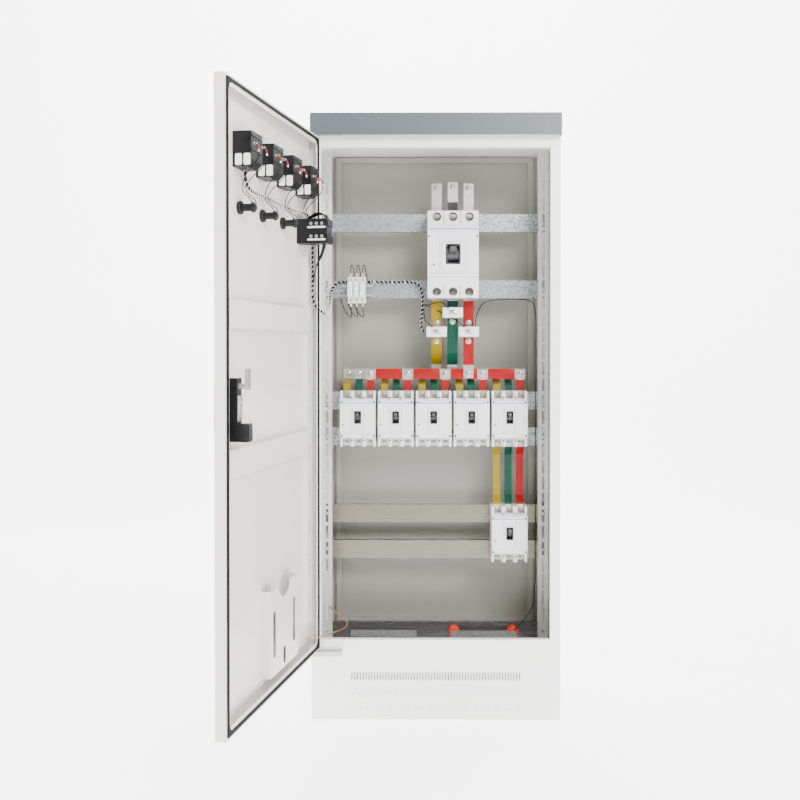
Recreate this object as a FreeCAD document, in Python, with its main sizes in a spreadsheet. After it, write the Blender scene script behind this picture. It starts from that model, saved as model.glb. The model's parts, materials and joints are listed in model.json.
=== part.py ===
import FreeCAD, Part
import math
import os
import re

import Sketcher

# Floor-standing switchboard cabinet with one door, hung on the left and standing open.
# Millimetres. X to the right, Y to the back, Z up. The origin is the centre of the base on the floor.
# Pieces of the door are drawn with the door shut, and their Placement then turns them about the hinge.

Vector = FreeCAD.Vector
UP = Vector(0, 0, 1)
RIGHT = Vector(1, 0, 0)

SIZES = {
    # enclosure
    "cab_width": 700,
    "cab_depth": 370,
    "cab_height": 1700,
    "wall": 1.5,
    "plinth_height": 174,
    "roof_height": 50,
    "header_height": 61,
    "stile_width": 28,
    "sill_height": 52,
    "lintel_height": 41,
    "frame_lip": 18.5,
    "rear_flange": 25,
    "rear_post_width": 17,
    "rear_post_depth": 16,
    "rear_post_inset": 40,
    "gland_height": 142,
    "gland_thick": 2,
    # plinth
    "foot_flange": 45,
    "anchor_span_x": 600,
    "anchor_span_y": 290,
    "anchor_radius": 7,
    "louvre_width": 3.5,
    "louvre_height": 22,
    "louvre_pitch": 8,
    "louvre_count": 60,
    "louvre_row_pitch": 43.5,
    "louvre_rows": 3,
    "louvre_first_row": 36,
    # uprights and rails
    "upright_width": 32,
    "upright_depth": 25,
    "upright_front": 60,
    "slot_width": 8,
    "slot_height": 40,
    "slot_pitch": 50,
    "slot_count": 28,
    "slot_first": 215,
    "rail_height": 54,
    "rail_depth": 15,
    "main_rail_rise": 104,
    "main_rail_drop": 97.5,
    "branch_rail_rise": 51,
    "branch_rail_drop": 58.5,
    "rail_terminal": 183,
    # door
    "door_side_gap": 3,
    "door_foot_gap": 28,
    "door_head_gap": 2,
    "door_thick": 25,
    "door_gap": 4,
    "door_lip": 24,
    "door_open": 100.7,
    "hinge_inset": 8,
    "hinge_forward": 11,
    "pin_radius": 4,
    "pin_clearance": 0.06,
    "pin_length": 16,
    "hinge_block": 16,
    "bracket_width": 84,
    "bracket_thick": 3,
    "seal_inset": 7,
    "seal_width": 7,
    "seal_thick": 3.7,
    "seal_corner": 24,
    "rib_height": 62,
    "rib_depth": 15,
    "rib_upper": 1124,
    "rib_lower": 791,
    "rib_margin": 40,
    "channel_width": 34,
    "channel_depth": 11,
    "channel_at": 40,
    "channel_margin": 90,
    # document pocket
    "pocket_width": 210,
    "pocket_height": 211,
    "pocket_bottom": 247,
    "pocket_depth": 24,
    "pocket_at": 295,
    "pocket_flange": 12,
    "pocket_slot_width": 22,
    "pocket_slot_height": 114,
    "pocket_slot_spread": 76,
    "thumb_radius": 50,
    "thumb_raise": 17,
    # door devices
    "meter_pitch": 150,
    "meter_first": 95,
    "meter_level": 1493,
    "meter_width": 74,
    "meter_height": 80,
    "meter_depth": 44,
    "meter_chamfer": 14,
    "bezel_size": 96,
    "bezel_depth": 10,
    "lamp_level": 1366,
    "lamp_radius": 9,
    "lamp_nut_radius": 14,
    "lamp_nut_depth": 8,
    "lamp_depth": 40,
    "lamp_front": 12,
    "selector_level": 1360,
    "selector_width": 50,
    "selector_height": 66,
    "selector_depth": 85,
    "selector_plate": 60,
    "knob_radius": 20,
    "knob_depth": 22,
    "fit_gap": 0.5,
    "lock_at": 630,
    "lock_bottom": 840,
    "lock_height": 145,
    "lock_width": 28,
    "lock_depth": 34,
    "lock_box_height": 40,
    "lock_box_depth": 58,
    "spindle_level": 964,
    "spindle_radius": 6,
    "spindle_clearance": 0.06,
    "latch_reach": 38,
    "latch_offset": 26,
    "latch_thick": 8,
    "latch_width": 16,
    "handle_length": 118,
    "handle_width": 22,
    "handle_depth": 13,
    # breakers
    "main_at": 52.5,
    "main_level": 1323,
    "main_width": 150,
    "main_height": 257,
    "main_pole": 48,
    "main_base": 52,
    "main_cover": 57,
    "main_shoulder": 9,
    "main_top_zone": 46,
    "main_low_zone": 64,
    "main_cell_width": 34,
    "main_cell_height": 36,
    "main_window_width": 36,
    "main_window_height": 52,
    "main_window_raise": 0,
    "main_bezel_width": 69,
    "main_bezel_height": 89,
    "main_hub": 20,
    "main_lever": 43,
    "main_button_side": 57,
    "main_button_drop": 31,
    "main_button_radius": 3.5,
    "branch_middle": -4.5,
    "branch_gap": 7.75,
    "branch_level": 836,
    "feeder_level": 491.5,
    "branch_width": 105,
    "branch_height": 165,
    "branch_pole": 35,
    "branch_base": 50,
    "branch_cover": 39,
    "branch_shoulder": 15,
    "branch_top_zone": 28,
    "branch_low_zone": 28,
    "branch_cell_width": 22,
    "branch_cell_height": 22,
    "branch_window_width": 16,
    "branch_window_height": 32,
    "branch_window_raise": 5,
    "branch_bezel_width": 27,
    "branch_bezel_height": 62,
    "branch_hub": 12.5,
    "branch_lever": 28,
    "branch_button_side": 44,
    "branch_button_drop": 17,
    "branch_button_radius": 3,
    "bezel_proud": 2,
    "button_proud": 1.5,
    "button_length": 8,
    "button_clearance": 0.3,
    "toggle_tilt": 20,
    # copper
    "bar_thick": 4,
    "bar_height": 30,
    "bar_level": 969,
    "bar_front": 26,
    "bar_spacing": 32,
    "bar_overhang": 15,
    "tap_width": 20,
    "dropper_width": 30,
    "tail_top": 1541,
    "sleeve_wall": 0.8,
    "spacer_radius": 13,
    "spacer_offset": 25,
    "bolt_radius": 6,
    "bolt_head": 4,
    "screw_radius": 5,
    # transformers, fuses, terminal bars
    "ct_width": 60,
    "ct_height": 30,
    "ct_depth": 56,
    "ct_upper": 1153,
    "ct_lower": 1095.5,
    "ct_window": 12,
    "din_height": 35,
    "din_depth": 15,
    "din_length": 96,
    "fuse_at": -235.5,
    "fuse_pitch": 18,
    "fuse_width": 17.6,
    "fuse_height": 78,
    "fuse_depth": 30,
    "carrier_width": 14,
    "carrier_height": 43,
    "carrier_depth": 27.6,
    "carrier_gap": 2.4,
    "carrier_pivot": 4,
    "pivot_radius": 1.5,
    "cheek_depth": 16,
    "cheek_gap": 0.3,
    "strip_length": 200,
    "strip_height": 20,
    "earth_strip_at": -156,
    "neutral_strip_at": 147,
    "earth_strip_level": 178,
    "neutral_strip_level": 182,
    "strip_screw_pitch": 30,
    "earth_spacer": 8,
    "standoff_length": 32,
    "standoff_radius": 17,
    "standoff_spread": 89,
    # leads
    "loom_radius": 4.5,
    "lead_radius": 1.3,
    "bond_radius": 1.9,
}

doc = FreeCAD.newDocument("switchboard_cabinet")
sheet = doc.addObject("Spreadsheet::Sheet", "Sizes")
for row, (alias, amount) in enumerate(SIZES.items(), start=1):
    sheet.set(f"A{row}", alias)
    sheet.set(f"B{row}", str(amount))
    sheet.setAlias(f"B{row}", alias)
doc.recompute()

# Sizes that follow from the driving ones.
DERIVED = {
    "door_width": "(cab_width - 2 * door_side_gap)",
    "door_bottom": "(plinth_height + door_foot_gap)",
    "door_top": "(cab_height - header_height - door_head_gap)",
    "branch_pitch": "(branch_width + branch_gap)",
    "branch_at": "(branch_middle - 2 * (branch_width + branch_gap))",
    "rail_main_upper": "(main_level + main_rail_rise)",
    "rail_main_lower": "(main_level - main_rail_drop)",
    "rail_branch_upper": "(branch_level + branch_rail_rise)",
    "rail_branch_lower": "(branch_level - branch_rail_drop)",
    "rail_feeder_upper": "(feeder_level + branch_rail_rise)",
    "rail_feeder_lower": "(feeder_level - branch_rail_drop)",
}

# Places worked out from the driving sizes, as expressions that the sheet's names are put into.
FRONT = "(-cab_depth / 2)"
BACK = "(cab_depth / 2)"
BODY_TOP = "(cab_height - roof_height)"
OPENING_HALF = "(cab_width / 2 - stile_width)"
OPENING_BOTTOM = "(plinth_height + sill_height)"
OPENING_TOP = "(cab_height - roof_height - lintel_height)"
DOOR_LEFT = "(-door_width / 2)"
DOOR_BACK = "(-cab_depth / 2 - door_gap)"
DOOR_FACE = "(-cab_depth / 2 - door_gap - door_thick)"
SKIN_BACK = "(-cab_depth / 2 - door_gap - door_thick + wall)"
HINGE_X = "(-door_width / 2 + hinge_inset)"
HINGE_Y = "(-cab_depth / 2 - door_gap - hinge_forward)"
RAIL_FACE = "(upright_front + wall)"
BAR_FACES = [f"(bar_front + bar_spacing * {step})" for step in range(3)]
PHASES = ("yellow", "green", "red")
RAILS = ("main_upper", "main_lower", "branch_upper", "branch_lower", "feeder_upper", "feeder_lower", "terminal")
UPRIGHT_INNER = "(cab_width / 2 - wall - 3 - upright_width)"

nodes = []


def size(alias):
    return float(sheet.get(alias))


def named(text):
    """The expression with derived sizes written out and the sheet's name before each of its aliases."""
    text = re.sub(r"[a-z_]+", lambda word: DERIVED.get(word.group(), word.group()), str(text))
    return re.sub(r"[a-z_]+", lambda word: "Sizes." + word.group() if word.group() in SIZES else word.group(), text)


def place(thing, x, y, z):
    thing.setExpression("Placement.Base.x", named(x))
    thing.setExpression("Placement.Base.y", named(y))
    thing.setExpression("Placement.Base.z", named(z))
    return thing


def block(wide, deep, tall, x, y, z, centred=""):
    """A box from its lowest corner, or from its middle along the axes named in centred."""
    thing = doc.addObject("Part::Box", "block")
    thing.setExpression("Length", named(wide))
    thing.setExpression("Width", named(deep))
    thing.setExpression("Height", named(tall))
    corner = {"x": (x, wide), "y": (y, deep), "z": (z, tall)}
    for axis, (start, extent) in corner.items():
        shift = f" - ({extent}) / 2" if axis in centred else ""
        thing.setExpression("Placement.Base." + axis, named(f"({start}){shift}"))
    return thing


def rod(radius, length, x, y, z, axis="y"):
    """A cylinder from the centre of its end, along +Y, +X or +Z."""
    thing = doc.addObject("Part::Cylinder", "rod")
    thing.setExpression("Radius", named(radius))
    thing.setExpression("Height", named(length))
    turns = {"x": FreeCAD.Rotation(Vector(0, 1, 0), 90), "y": FreeCAD.Rotation(RIGHT, -90), "z": FreeCAD.Rotation()}
    thing.Placement = FreeCAD.Placement(Vector(), turns[axis])
    return place(thing, x, y, z)


def rounded(wide, deep, tall, radius, x, y, z):
    """A plate in the XZ plane with round corners, centred on x and z, its front at y."""
    pieces = [
        block(f"({wide}) - 2 * ({radius})", deep, tall, x, y, z, "xz"),
        block(wide, deep, f"({tall}) - 2 * ({radius})", x, y, z, "xz"),
    ]
    for across in ("-", "+"):
        for along in ("-", "+"):
            corner_x = f"({x}) {across} (({wide}) / 2 - ({radius}))"
            corner_z = f"({z}) {along} (({tall}) / 2 - ({radius}))"
            pieces.append(rod(radius, deep, corner_x, y, corner_z))
    return fuse(pieces)


def group(pieces):
    thing = doc.addObject("Part::Compound", "group")
    thing.Links = pieces
    return thing


def fuse(pieces):
    thing = doc.addObject("Part::MultiFuse", "fuse")
    thing.Shapes = pieces
    thing.Refine = True
    return thing


def cut(base, tools):
    thing = doc.addObject("Part::Cut", "cut")
    thing.Base = base
    thing.Tool = tools[0] if len(tools) == 1 else group(tools)
    thing.Refine = True
    return thing


def feature(shape):
    thing = doc.addObject("Part::Feature", "shape")
    thing.Shape = shape
    return thing


def node(label, thing, placement=None):
    """Names a sub-part and gives it its place."""
    thing.Label = label
    if placement is not None:
        thing.Placement = placement
    nodes.append(thing)
    return thing


def origin_plane(body, role):
    return next(plane for plane in body.Origin.OriginFeatures if plane.Role == role)


def rectangle_sketch(body, plane, left, low, wide, tall, offset="0"):
    """A sketch of one rectangle on a plane of the body's own origin, its sizes bound to the sheet."""
    sketch = body.newObject("Sketcher::SketchObject", "outline")
    sketch.AttachmentSupport = [(origin_plane(body, plane), "")]
    sketch.MapMode = "FlatFace"
    sketch.setExpression("AttachmentOffset.Base.z", named(offset))
    corners = [Vector(1, 1, 0), Vector(9, 1, 0), Vector(9, 5, 0), Vector(1, 5, 0)]
    for index in range(4):
        sketch.addGeometry(Part.LineSegment(corners[index], corners[(index + 1) % 4]), False)
    for index in range(4):
        sketch.addConstraint(Sketcher.Constraint("Coincident", index, 2, (index + 1) % 4, 1))
    for kind, index in (("Horizontal", 0), ("Vertical", 1), ("Horizontal", 2), ("Vertical", 3)):
        sketch.addConstraint(Sketcher.Constraint(kind, index))
    bounds = (
        ("left", ("DistanceX", -1, 1, 0, 1, 1.0), left),
        ("low", ("DistanceY", -1, 1, 0, 1, 1.0), low),
        ("wide", ("DistanceX", 0, 1, 0, 2, 8.0), wide),
        ("tall", ("DistanceY", 1, 1, 1, 2, 4.0), tall),
    )
    for name, arguments, expression in bounds:
        index = sketch.addConstraint(Sketcher.Constraint(*arguments))
        sketch.renameConstraint(index, name)
        sketch.setExpression("Constraints." + name, named(expression))
    return sketch


def pad(body, sketch, length):
    thing = body.newObject("PartDesign::Pad", "pad")
    thing.Profile = sketch
    thing.setExpression("Length", named(length))
    return thing


def pocket_through(body, sketch):
    thing = body.newObject("PartDesign::Pocket", "pocket")
    thing.Profile = sketch
    thing.Type = "ThroughAll"
    thing.Midplane = True
    return thing


def row_of(body, feature_to_repeat, sketch, direction, count, pitch):
    """A linear pattern of one feature along a sketch's horizontal (H) or vertical (V) axis."""
    thing = body.newObject("PartDesign::LinearPattern", "row")
    thing.Originals = [feature_to_repeat]
    thing.Direction = (sketch, [direction + "_Axis"])
    thing.setExpression("Occurrences", named(count))
    thing.setExpression("Length", named(f"({pitch}) * (({count}) - 1)"))
    body.Tip = thing
    return thing


# ---------------------------------------------------------------- bent strips and leads
def strip_shape(path, width, thick, x):
    """A flat bar of constant thickness along a path of (y, z) points, square to X, its back on the path."""
    sides = []
    for (y0, z0), (y1, z1) in zip(path, path[1:]):
        run = math.hypot(y1 - y0, z1 - z0)
        sides.append((-(z1 - z0) / run, (y1 - y0) / run))
    front = []
    for index, (y, z) in enumerate(path):
        before = sides[max(index - 1, 0)]
        after = sides[min(index, len(sides) - 1)]
        share = 1 + before[0] * after[0] + before[1] * after[1]
        front.append((y + thick * (before[0] + after[0]) / share, z + thick * (before[1] + after[1]) / share))
    outline = [Vector(x - width / 2, y, z) for y, z in list(path) + front[::-1]]
    return Part.Face(Part.makePolygon(outline + outline[:1])).extrude(Vector(width, 0, 0))


def tube_shape(route, radius, name):
    """A round lead of straight runs joined by tangent arcs, each as large as its two runs allow."""
    edges = []
    start = route[0]
    radii = []
    for before, corner, after in zip(route, route[1:], route[2:]):
        arriving = (corner - before).normalize()
        leaving = (after - corner).normalize()
        turn = arriving.getAngle(leaving)
        setback = 0.45 * min((corner - before).Length, (after - corner).Length)
        radii.append(setback / math.tan(turn / 2))
        middle_way = (leaving - arriving).normalize()
        centre = corner + middle_way * (radii[-1] / math.cos(turn / 2))
        entry = corner - arriving * setback
        exit_point = corner + leaving * setback
        edges.append(Part.LineSegment(start, entry).toShape())
        edges.append(Part.Arc(entry, centre - middle_way * radii[-1], exit_point).toShape())
        start = exit_point
    edges.append(Part.LineSegment(start, route[-1]).toShape())
    path = Part.Wire(edges)
    section = Part.Wire([Part.makeCircle(radius, route[0], (route[1] - route[0]).normalize())])
    solid = path.makePipeShell([section], True, False)
    wanted = math.pi * radius**2 * path.Length
    print(name, "length", round(path.Length), "radii", [round(bend, 1) for bend in radii], "fill", round(solid.Volume / wanted, 4))
    return solid


# ---------------------------------------------------------------- enclosure
def make_side_panels():
    tall = f"{BODY_TOP} - plinth_height"
    for label, side in (("left_side_panel", -1), ("right_side_panel", 1)):
        sheet_x = f"{side} * (cab_width - wall) / 2"
        flange_x = f"{side} * (cab_width - rear_flange) / 2"
        panel = block("wall", "cab_depth - 2 * wall", tall, sheet_x, 0, "plinth_height", "xy")
        flange = block("rear_flange", "wall", tall, flange_x, f"{BACK} - 2 * wall", "plinth_height", "x")
        node(label, fuse([panel, flange]))


def make_rear_panel():
    node("rear_panel", block("cab_width", "wall", f"{BODY_TOP} - plinth_height", 0, f"{BACK} - wall", "plinth_height", "x"))


def make_roof():
    tray = block("cab_width", "cab_depth", "roof_height", 0, 0, BODY_TOP, "xy")
    hollow = block("cab_width - 2 * wall", "cab_depth - 2 * wall", "roof_height - wall", 0, 0, BODY_TOP, "xy")
    ceiling = block("cab_width - 2 * wall", "cab_depth - 3 * wall", "wall", 0, f"{FRONT} + wall", f"{BODY_TOP} - wall", "x")
    node("roof_panel", group([cut(tray, [hollow]), ceiling]))


def make_header():
    outer = block("cab_width", "door_gap + door_thick", "header_height", 0, DOOR_FACE, "cab_height - header_height", "x")
    inner = block("cab_width - 2 * wall", "door_gap + door_thick", "header_height - wall", 0, SKIN_BACK,
                  "cab_height - header_height", "x")
    node("header_fascia", cut(outer, [inner]))


def make_front_frame():
    low = "plinth_height"
    face = block("cab_width", "wall", f"{BODY_TOP} - {low}", 0, FRONT, low, "x")
    lip = block(f"2 * {OPENING_HALF} + 2 * wall", "frame_lip + wall", f"{OPENING_TOP} - {OPENING_BOTTOM} + 2 * wall",
                0, FRONT, f"{OPENING_BOTTOM} - wall", "x")
    opening = block(f"2 * {OPENING_HALF}", "frame_lip + 3 * wall", f"{OPENING_TOP} - {OPENING_BOTTOM}",
                    0, f"{FRONT} - wall", OPENING_BOTTOM, "x")
    node("front_frame", cut(fuse([face, lip]), [opening]))


def make_rear_frame():
    half = "(cab_width / 2 - rear_post_inset)"
    low = "(plinth_height + 4)"
    high = f"({BODY_TOP} - wall - 3)"
    front = f"({BACK} - wall - rear_post_depth)"
    ring = block(f"2 * {half}", "rear_post_depth", f"{high} - {low}", 0, front, low, "x")
    gap = block(f"2 * {half} - 2 * rear_post_width", "rear_post_depth + 2 * wall", f"{high} - {low} - 2 * rear_post_width",
                0, f"{front} - wall", f"{low} + rear_post_width", "x")
    node("rear_frame", cut(ring, [gap]))


def make_plinth():
    """Skirt of four walls with a flange on the floor; the louvred front is padded and pocketed."""
    outer = block("cab_width", "cab_depth - wall", "plinth_height", 0, f"{FRONT} + wall", 0, "x")
    inner = block("cab_width - 2 * wall", "cab_depth - wall", "plinth_height", 0, FRONT, "wall", "x")
    well = block("cab_width - 2 * foot_flange", "cab_depth - 2 * foot_flange", "3 * wall", 0, 0, "-wall", "xy")
    anchors = []
    for across in ("-", "+"):
        for along in ("-", "+"):
            anchors.append(rod("anchor_radius", "3 * wall", f"0 {across} anchor_span_x / 2", f"0 {along} anchor_span_y / 2",
                               "-wall", "z"))
    skirt = cut(outer, [inner, well] + anchors)

    body = doc.addObject("PartDesign::Body", "louvred_front")
    plate = rectangle_sketch(body, "XZ_Plane", "-cab_width / 2", "0", "cab_width", "plinth_height")
    pad(body, plate, "wall")
    slot = rectangle_sketch(body, "XZ_Plane", "-(louvre_pitch * (louvre_count - 1) + louvre_width) / 2",
                            "louvre_first_row - louvre_height / 2", "louvre_width", "louvre_height")
    opening = pocket_through(body, slot)
    across = body.newObject("PartDesign::MultiTransform", "louvres")
    across.Originals = [opening]
    steps = []
    for direction, count, pitch in (("H", "louvre_count", "louvre_pitch"), ("V", "louvre_rows", "louvre_row_pitch")):
        step = body.newObject("PartDesign::LinearPattern", "step")
        step.Direction = (slot, [direction + "_Axis"])
        step.setExpression("Occurrences", named(count))
        step.setExpression("Length", named(f"{pitch} * ({count} - 1)"))
        steps.append(step)
    across.Transformations = steps
    body.Tip = across
    place(body, 0, f"{FRONT} + wall", 0)
    node("plinth", fuse([skirt, body]))


def make_gland_plate():
    node("gland_plate", block("cab_width - 2 * wall", "cab_depth - 2 * wall", "gland_thick", 0, 0, "gland_height", "xy"))


# ---------------------------------------------------------------- uprights and rails
def make_uprights():
    """A punched channel, drawn once as a body for each side."""
    bodies = []
    for side in (-1, 1):
        body = doc.addObject("PartDesign::Body", "upright")
        middle = f"({side} * ({UPRIGHT_INNER} + upright_width / 2))"
        low = "(gland_height + gland_thick)"
        tall = f"{BODY_TOP} - wall - {low}"
        face = rectangle_sketch(body, "XZ_Plane", f"{middle} - upright_width / 2 + 1000", low, "upright_width", tall)
        pad(body, face, "wall").Reversed = True
        web_left = f"{middle} + {side} * (upright_width / 2 - wall / 2) - wall / 2 + 1000"
        web = rectangle_sketch(body, "XZ_Plane", web_left, low, "wall", tall)
        pad(body, web, "upright_depth").Reversed = True
        slot = rectangle_sketch(body, "XZ_Plane", f"{middle} - slot_width / 2 + 1000", "slot_first", "slot_width", "slot_height")
        opening = pocket_through(body, slot)
        row_of(body, opening, slot, "V", "slot_count", "slot_pitch")
        place(body, -1000, "upright_front", 0)
        bodies.append(body)
    node("slotted_uprights", group(bodies))


def make_cross_rails():
    rails = []
    length = "(cab_width - 2 * wall - 6 - 3 * wall)"
    for name in RAILS:
        level = f"rail_{name}"
        outer = block(length, "rail_depth", "rail_height", 0, RAIL_FACE, level, "xz")
        inner = block(f"{length} + 2", "rail_depth", "rail_height - 2 * wall", 0, f"{RAIL_FACE} + wall", level, "xz")
        rails.append(cut(outer, [inner]))
    node("cross_rails", group(rails))


# ---------------------------------------------------------------- door
def hinge_centre():
    x = -size("cab_width") / 2 + size("door_side_gap") + size("hinge_inset")
    y = -size("cab_depth") / 2 - size("door_gap") - size("hinge_forward")
    return Vector(x, y, 0)


def door_turn():
    """Placement that swings a piece drawn on the shut door to where the open door stands."""
    return FreeCAD.Placement(Vector(), FreeCAD.Rotation(UP, -size("door_open")), hinge_centre())


def make_hinge_brackets():
    lower_top = "(door_bottom - 4)"
    reach = "(door_gap + door_thick - 2)"
    lower_pin = rod("pin_radius", "pin_length", HINGE_X, HINGE_Y, lower_top, "z")
    lower = fuse([
        block("bracket_width", reach, "bracket_thick", DOOR_LEFT, f"{FRONT} - {reach}", f"{lower_top} - bracket_thick"),
        block("bracket_width", "bracket_thick", "18", DOOR_LEFT, f"{FRONT} - bracket_thick", f"{lower_top} - 18"),
        lower_pin,
    ])
    upper_low = "(door_top + 3.5)"
    upper = fuse([
        block("bracket_width", reach, "bracket_thick", DOOR_LEFT, f"{FRONT} - {reach}", upper_low),
        block("bracket_width", "bracket_thick", "18", DOOR_LEFT, f"{FRONT} - bracket_thick", upper_low),
        rod("pin_radius", "pin_length", HINGE_X, HINGE_Y, f"{upper_low} - pin_length", "z"),
    ])
    node("hinge_brackets", group([lower, upper]))


def device_x(index):
    """Middle of a device column, counted from the hinge side."""
    return f"({HINGE_X} + meter_first + meter_pitch * {index})"


def make_door_leaf():
    tall = "(door_top - door_bottom)"
    tray = block("door_width", "door_thick", tall, 0, DOOR_FACE, "door_bottom", "x")
    hollow = block("door_width - 2 * wall", "door_thick - 2 * wall", f"{tall} - 2 * wall", 0, SKIN_BACK,
                   "door_bottom + wall", "x")
    window = block("door_width - 2 * door_lip", "2 * wall", f"{tall} - 2 * door_lip", 0, f"{DOOR_BACK} - 1.5 * wall",
                   "door_bottom + door_lip", "x")
    shell = cut(tray, [hollow, window])
    blocks = []
    for low in ("door_bottom", "(door_top - hinge_block)"):
        blocks.append(block("hinge_block", "door_thick - 2 * wall", "hinge_block", DOOR_LEFT, SKIN_BACK, low))
    hole = "(pin_radius + pin_clearance)"
    openings = [
        rod(hole, "pin_length - 1", HINGE_X, HINGE_Y, "door_bottom - 1", "z"),
        rod(hole, "pin_length - 1", HINGE_X, HINGE_Y, "door_top - pin_length + 2", "z"),
        block("lock_width - 1", "3 * wall", "lock_height - 4", f"{HINGE_X} + lock_at", f"{DOOR_FACE} - wall", "lock_bottom + 2", "x"),
        block("selector_width - 8", "3 * wall", "selector_width - 8", device_x(0), f"{DOOR_FACE} - wall", "selector_level", "xz"),
    ]
    for index in range(4):
        openings.append(block("meter_width", "3 * wall", "meter_height", device_x(index), f"{DOOR_FACE} - wall", "meter_level", "xz"))
    for index in (1, 2, 3):
        openings.append(rod("lamp_radius", "3 * wall", device_x(index), f"{DOOR_FACE} - wall", "lamp_level"))
    node("door_leaf", cut(fuse([shell] + blocks), openings), door_turn())


def make_door_seal():
    level = "((door_top + door_bottom) / 2)"
    tall = "(door_top - door_bottom - 2 * seal_inset)"
    outer = block("door_width - 2 * seal_inset", "seal_thick", tall, 0, DOOR_BACK, level, "xz")
    inner = rounded("door_width - 2 * seal_inset - 2 * seal_width", "seal_thick + 2 * wall", f"{tall} - 2 * seal_width",
                    "seal_corner", 0, f"{DOOR_BACK} - wall", level)
    node("door_seal", cut(outer, [inner]), door_turn())


def make_stiffeners():
    pieces = []
    left = f"({HINGE_X} + channel_at + channel_width / 2 + 2)"
    right = "(door_width / 2 - rib_margin - 10)"
    for level in ("rib_upper", "rib_lower"):
        outer = block(f"{right} - {left}", "rib_depth", "rib_height", left, SKIN_BACK, level, "z")
        inner = block(f"{right} - {left} + 4", "rib_depth", "rib_height - 2 * wall", f"{left} - 2", f"{SKIN_BACK} - wall", level, "z")
        pieces.append(cut(outer, [inner]))
    low = "(door_bottom + channel_margin)"
    tall = "(door_top - door_bottom - 2 * channel_margin)"
    middle = f"({HINGE_X} + channel_at)"
    channel = block("channel_width", "channel_depth", tall, middle, SKIN_BACK, low, "x")
    hollow = block("channel_width - 2 * wall", "channel_depth", f"{tall} + 4", middle, f"{SKIN_BACK} - wall", f"{low} - 2", "x")
    slots = []
    for index in range(12):
        slots.append(block("slot_width", "20", "slot_height", middle, f"{SKIN_BACK} - 1", f"{low} + 30 + {index} * 105", "x"))
    pieces.append(cut(channel, [hollow] + slots))
    node("door_stiffeners", group(pieces), door_turn())


def make_pocket():
    """Sheet-metal holder for papers: a front padded from a sketch, with sides, floor and flanges."""
    middle = f"({HINGE_X} + pocket_at)"
    outer = block("pocket_width", "pocket_depth", "pocket_height", middle, SKIN_BACK, "pocket_bottom", "x")
    inner = block("pocket_width - 2 * wall", "pocket_depth", "pocket_height", middle, f"{SKIN_BACK} - wall",
                  "pocket_bottom + wall", "x")
    flanges = block("pocket_width + 2 * pocket_flange", "wall", "pocket_height", middle, SKIN_BACK, "pocket_bottom", "x")
    throat = block("pocket_width - 2 * wall", "4 * wall", "pocket_height", middle, f"{SKIN_BACK} - wall",
                   "pocket_bottom + wall", "x")
    front = f"({SKIN_BACK} + pocket_depth - 2 * wall)"
    tools = [rod("thumb_radius", "4 * wall", middle, front, "pocket_bottom + pocket_height + thumb_raise")]
    slot_low = "(pocket_bottom + pocket_height / 2 - 5)"
    for spread in ("-", "+"):
        tools.append(rounded("pocket_slot_width", "4 * wall", "pocket_slot_height", "pocket_slot_width / 2 - 0.5",
                             f"{middle} {spread} pocket_slot_spread", front, slot_low))
    tools.append(rounded("pocket_slot_width", "4 * wall", "pocket_slot_width * 2", "pocket_slot_width / 2 - 0.5",
                         middle, front, "pocket_bottom + 30"))
    body = cut(fuse([cut(outer, [inner]), cut(flanges, [throat])]), tools)
    node("document_pocket", body, door_turn())


def make_meters():
    cases = []
    for index in range(4):
        x = device_x(index)
        case = block("meter_width - 1", "meter_depth + wall", "meter_height - 1", x, DOOR_FACE, "meter_level", "xz")
        bezel = rounded("bezel_size", "bezel_depth", "bezel_size", "5", x, f"{DOOR_FACE} - bezel_depth", "meter_level")
        wedge = doc.addObject("Part::Wedge", "chamfer")
        wedge_sizes = {
            "Xmin": "0", "Xmax": "meter_width", "X2min": "0", "X2max": "meter_width",
            "Ymin": "0", "Ymax": "meter_chamfer",
            "Zmin": "0", "Zmax": "meter_chamfer", "Z2min": "0", "Z2max": "0.01",
        }
        for name, expression in wedge_sizes.items():
            wedge.setExpression(name, named(expression))
        wedge.Placement = FreeCAD.Placement(Vector(), FreeCAD.Rotation(RIGHT, 90))
        place(wedge, f"{x} - meter_width / 2", f"{SKIN_BACK} + meter_depth", "meter_level - meter_height / 2")
        studs = []
        for side in ("-", "+"):
            studs.append(rod("3", "9", f"{x} {side} 26", f"{SKIN_BACK} + meter_depth - 1", "meter_level + 12"))
        cases.append(fuse([cut(case, [wedge]), bezel] + studs))
    node("meter_cases", group(cases), door_turn())


def make_lamps():
    lamps = []
    for index in (1, 2, 3):
        x = device_x(index)
        lamps.append(fuse([
            rod("lamp_nut_radius", "lamp_front", x, f"{DOOR_FACE} - lamp_front", "lamp_level"),
            rod("lamp_radius - 0.3", "lamp_depth + wall", x, DOOR_FACE, "lamp_level"),
            rod("lamp_nut_radius", "lamp_nut_depth", x, SKIN_BACK, "lamp_level"),
        ]))
    node("pilot_lamps", group(lamps), door_turn())


def make_selector():
    x = device_x(0)
    plate = rounded("selector_plate", "8", "selector_plate", "5", x, f"{DOOR_FACE} - 8", "selector_level")
    neck = block("selector_width - 10", "2 * wall", "selector_width - 10", x, DOOR_FACE, "selector_level", "xz")
    stack = block("selector_width", "selector_depth - wall", "selector_height", x, SKIN_BACK, "selector_level", "xz")
    node("selector_body", fuse([plate, neck, stack]), door_turn())
    knob = rod("knob_radius", "6", x, f"{DOOR_FACE} - 8 - fit_gap - 6", "selector_level")
    grip = block("11", "knob_depth", "2 * knob_radius - 2", x, f"{DOOR_FACE} - 8 - fit_gap - knob_depth", "selector_level", "xz")
    node("selector_knob", fuse([knob, grip]), door_turn())


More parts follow.
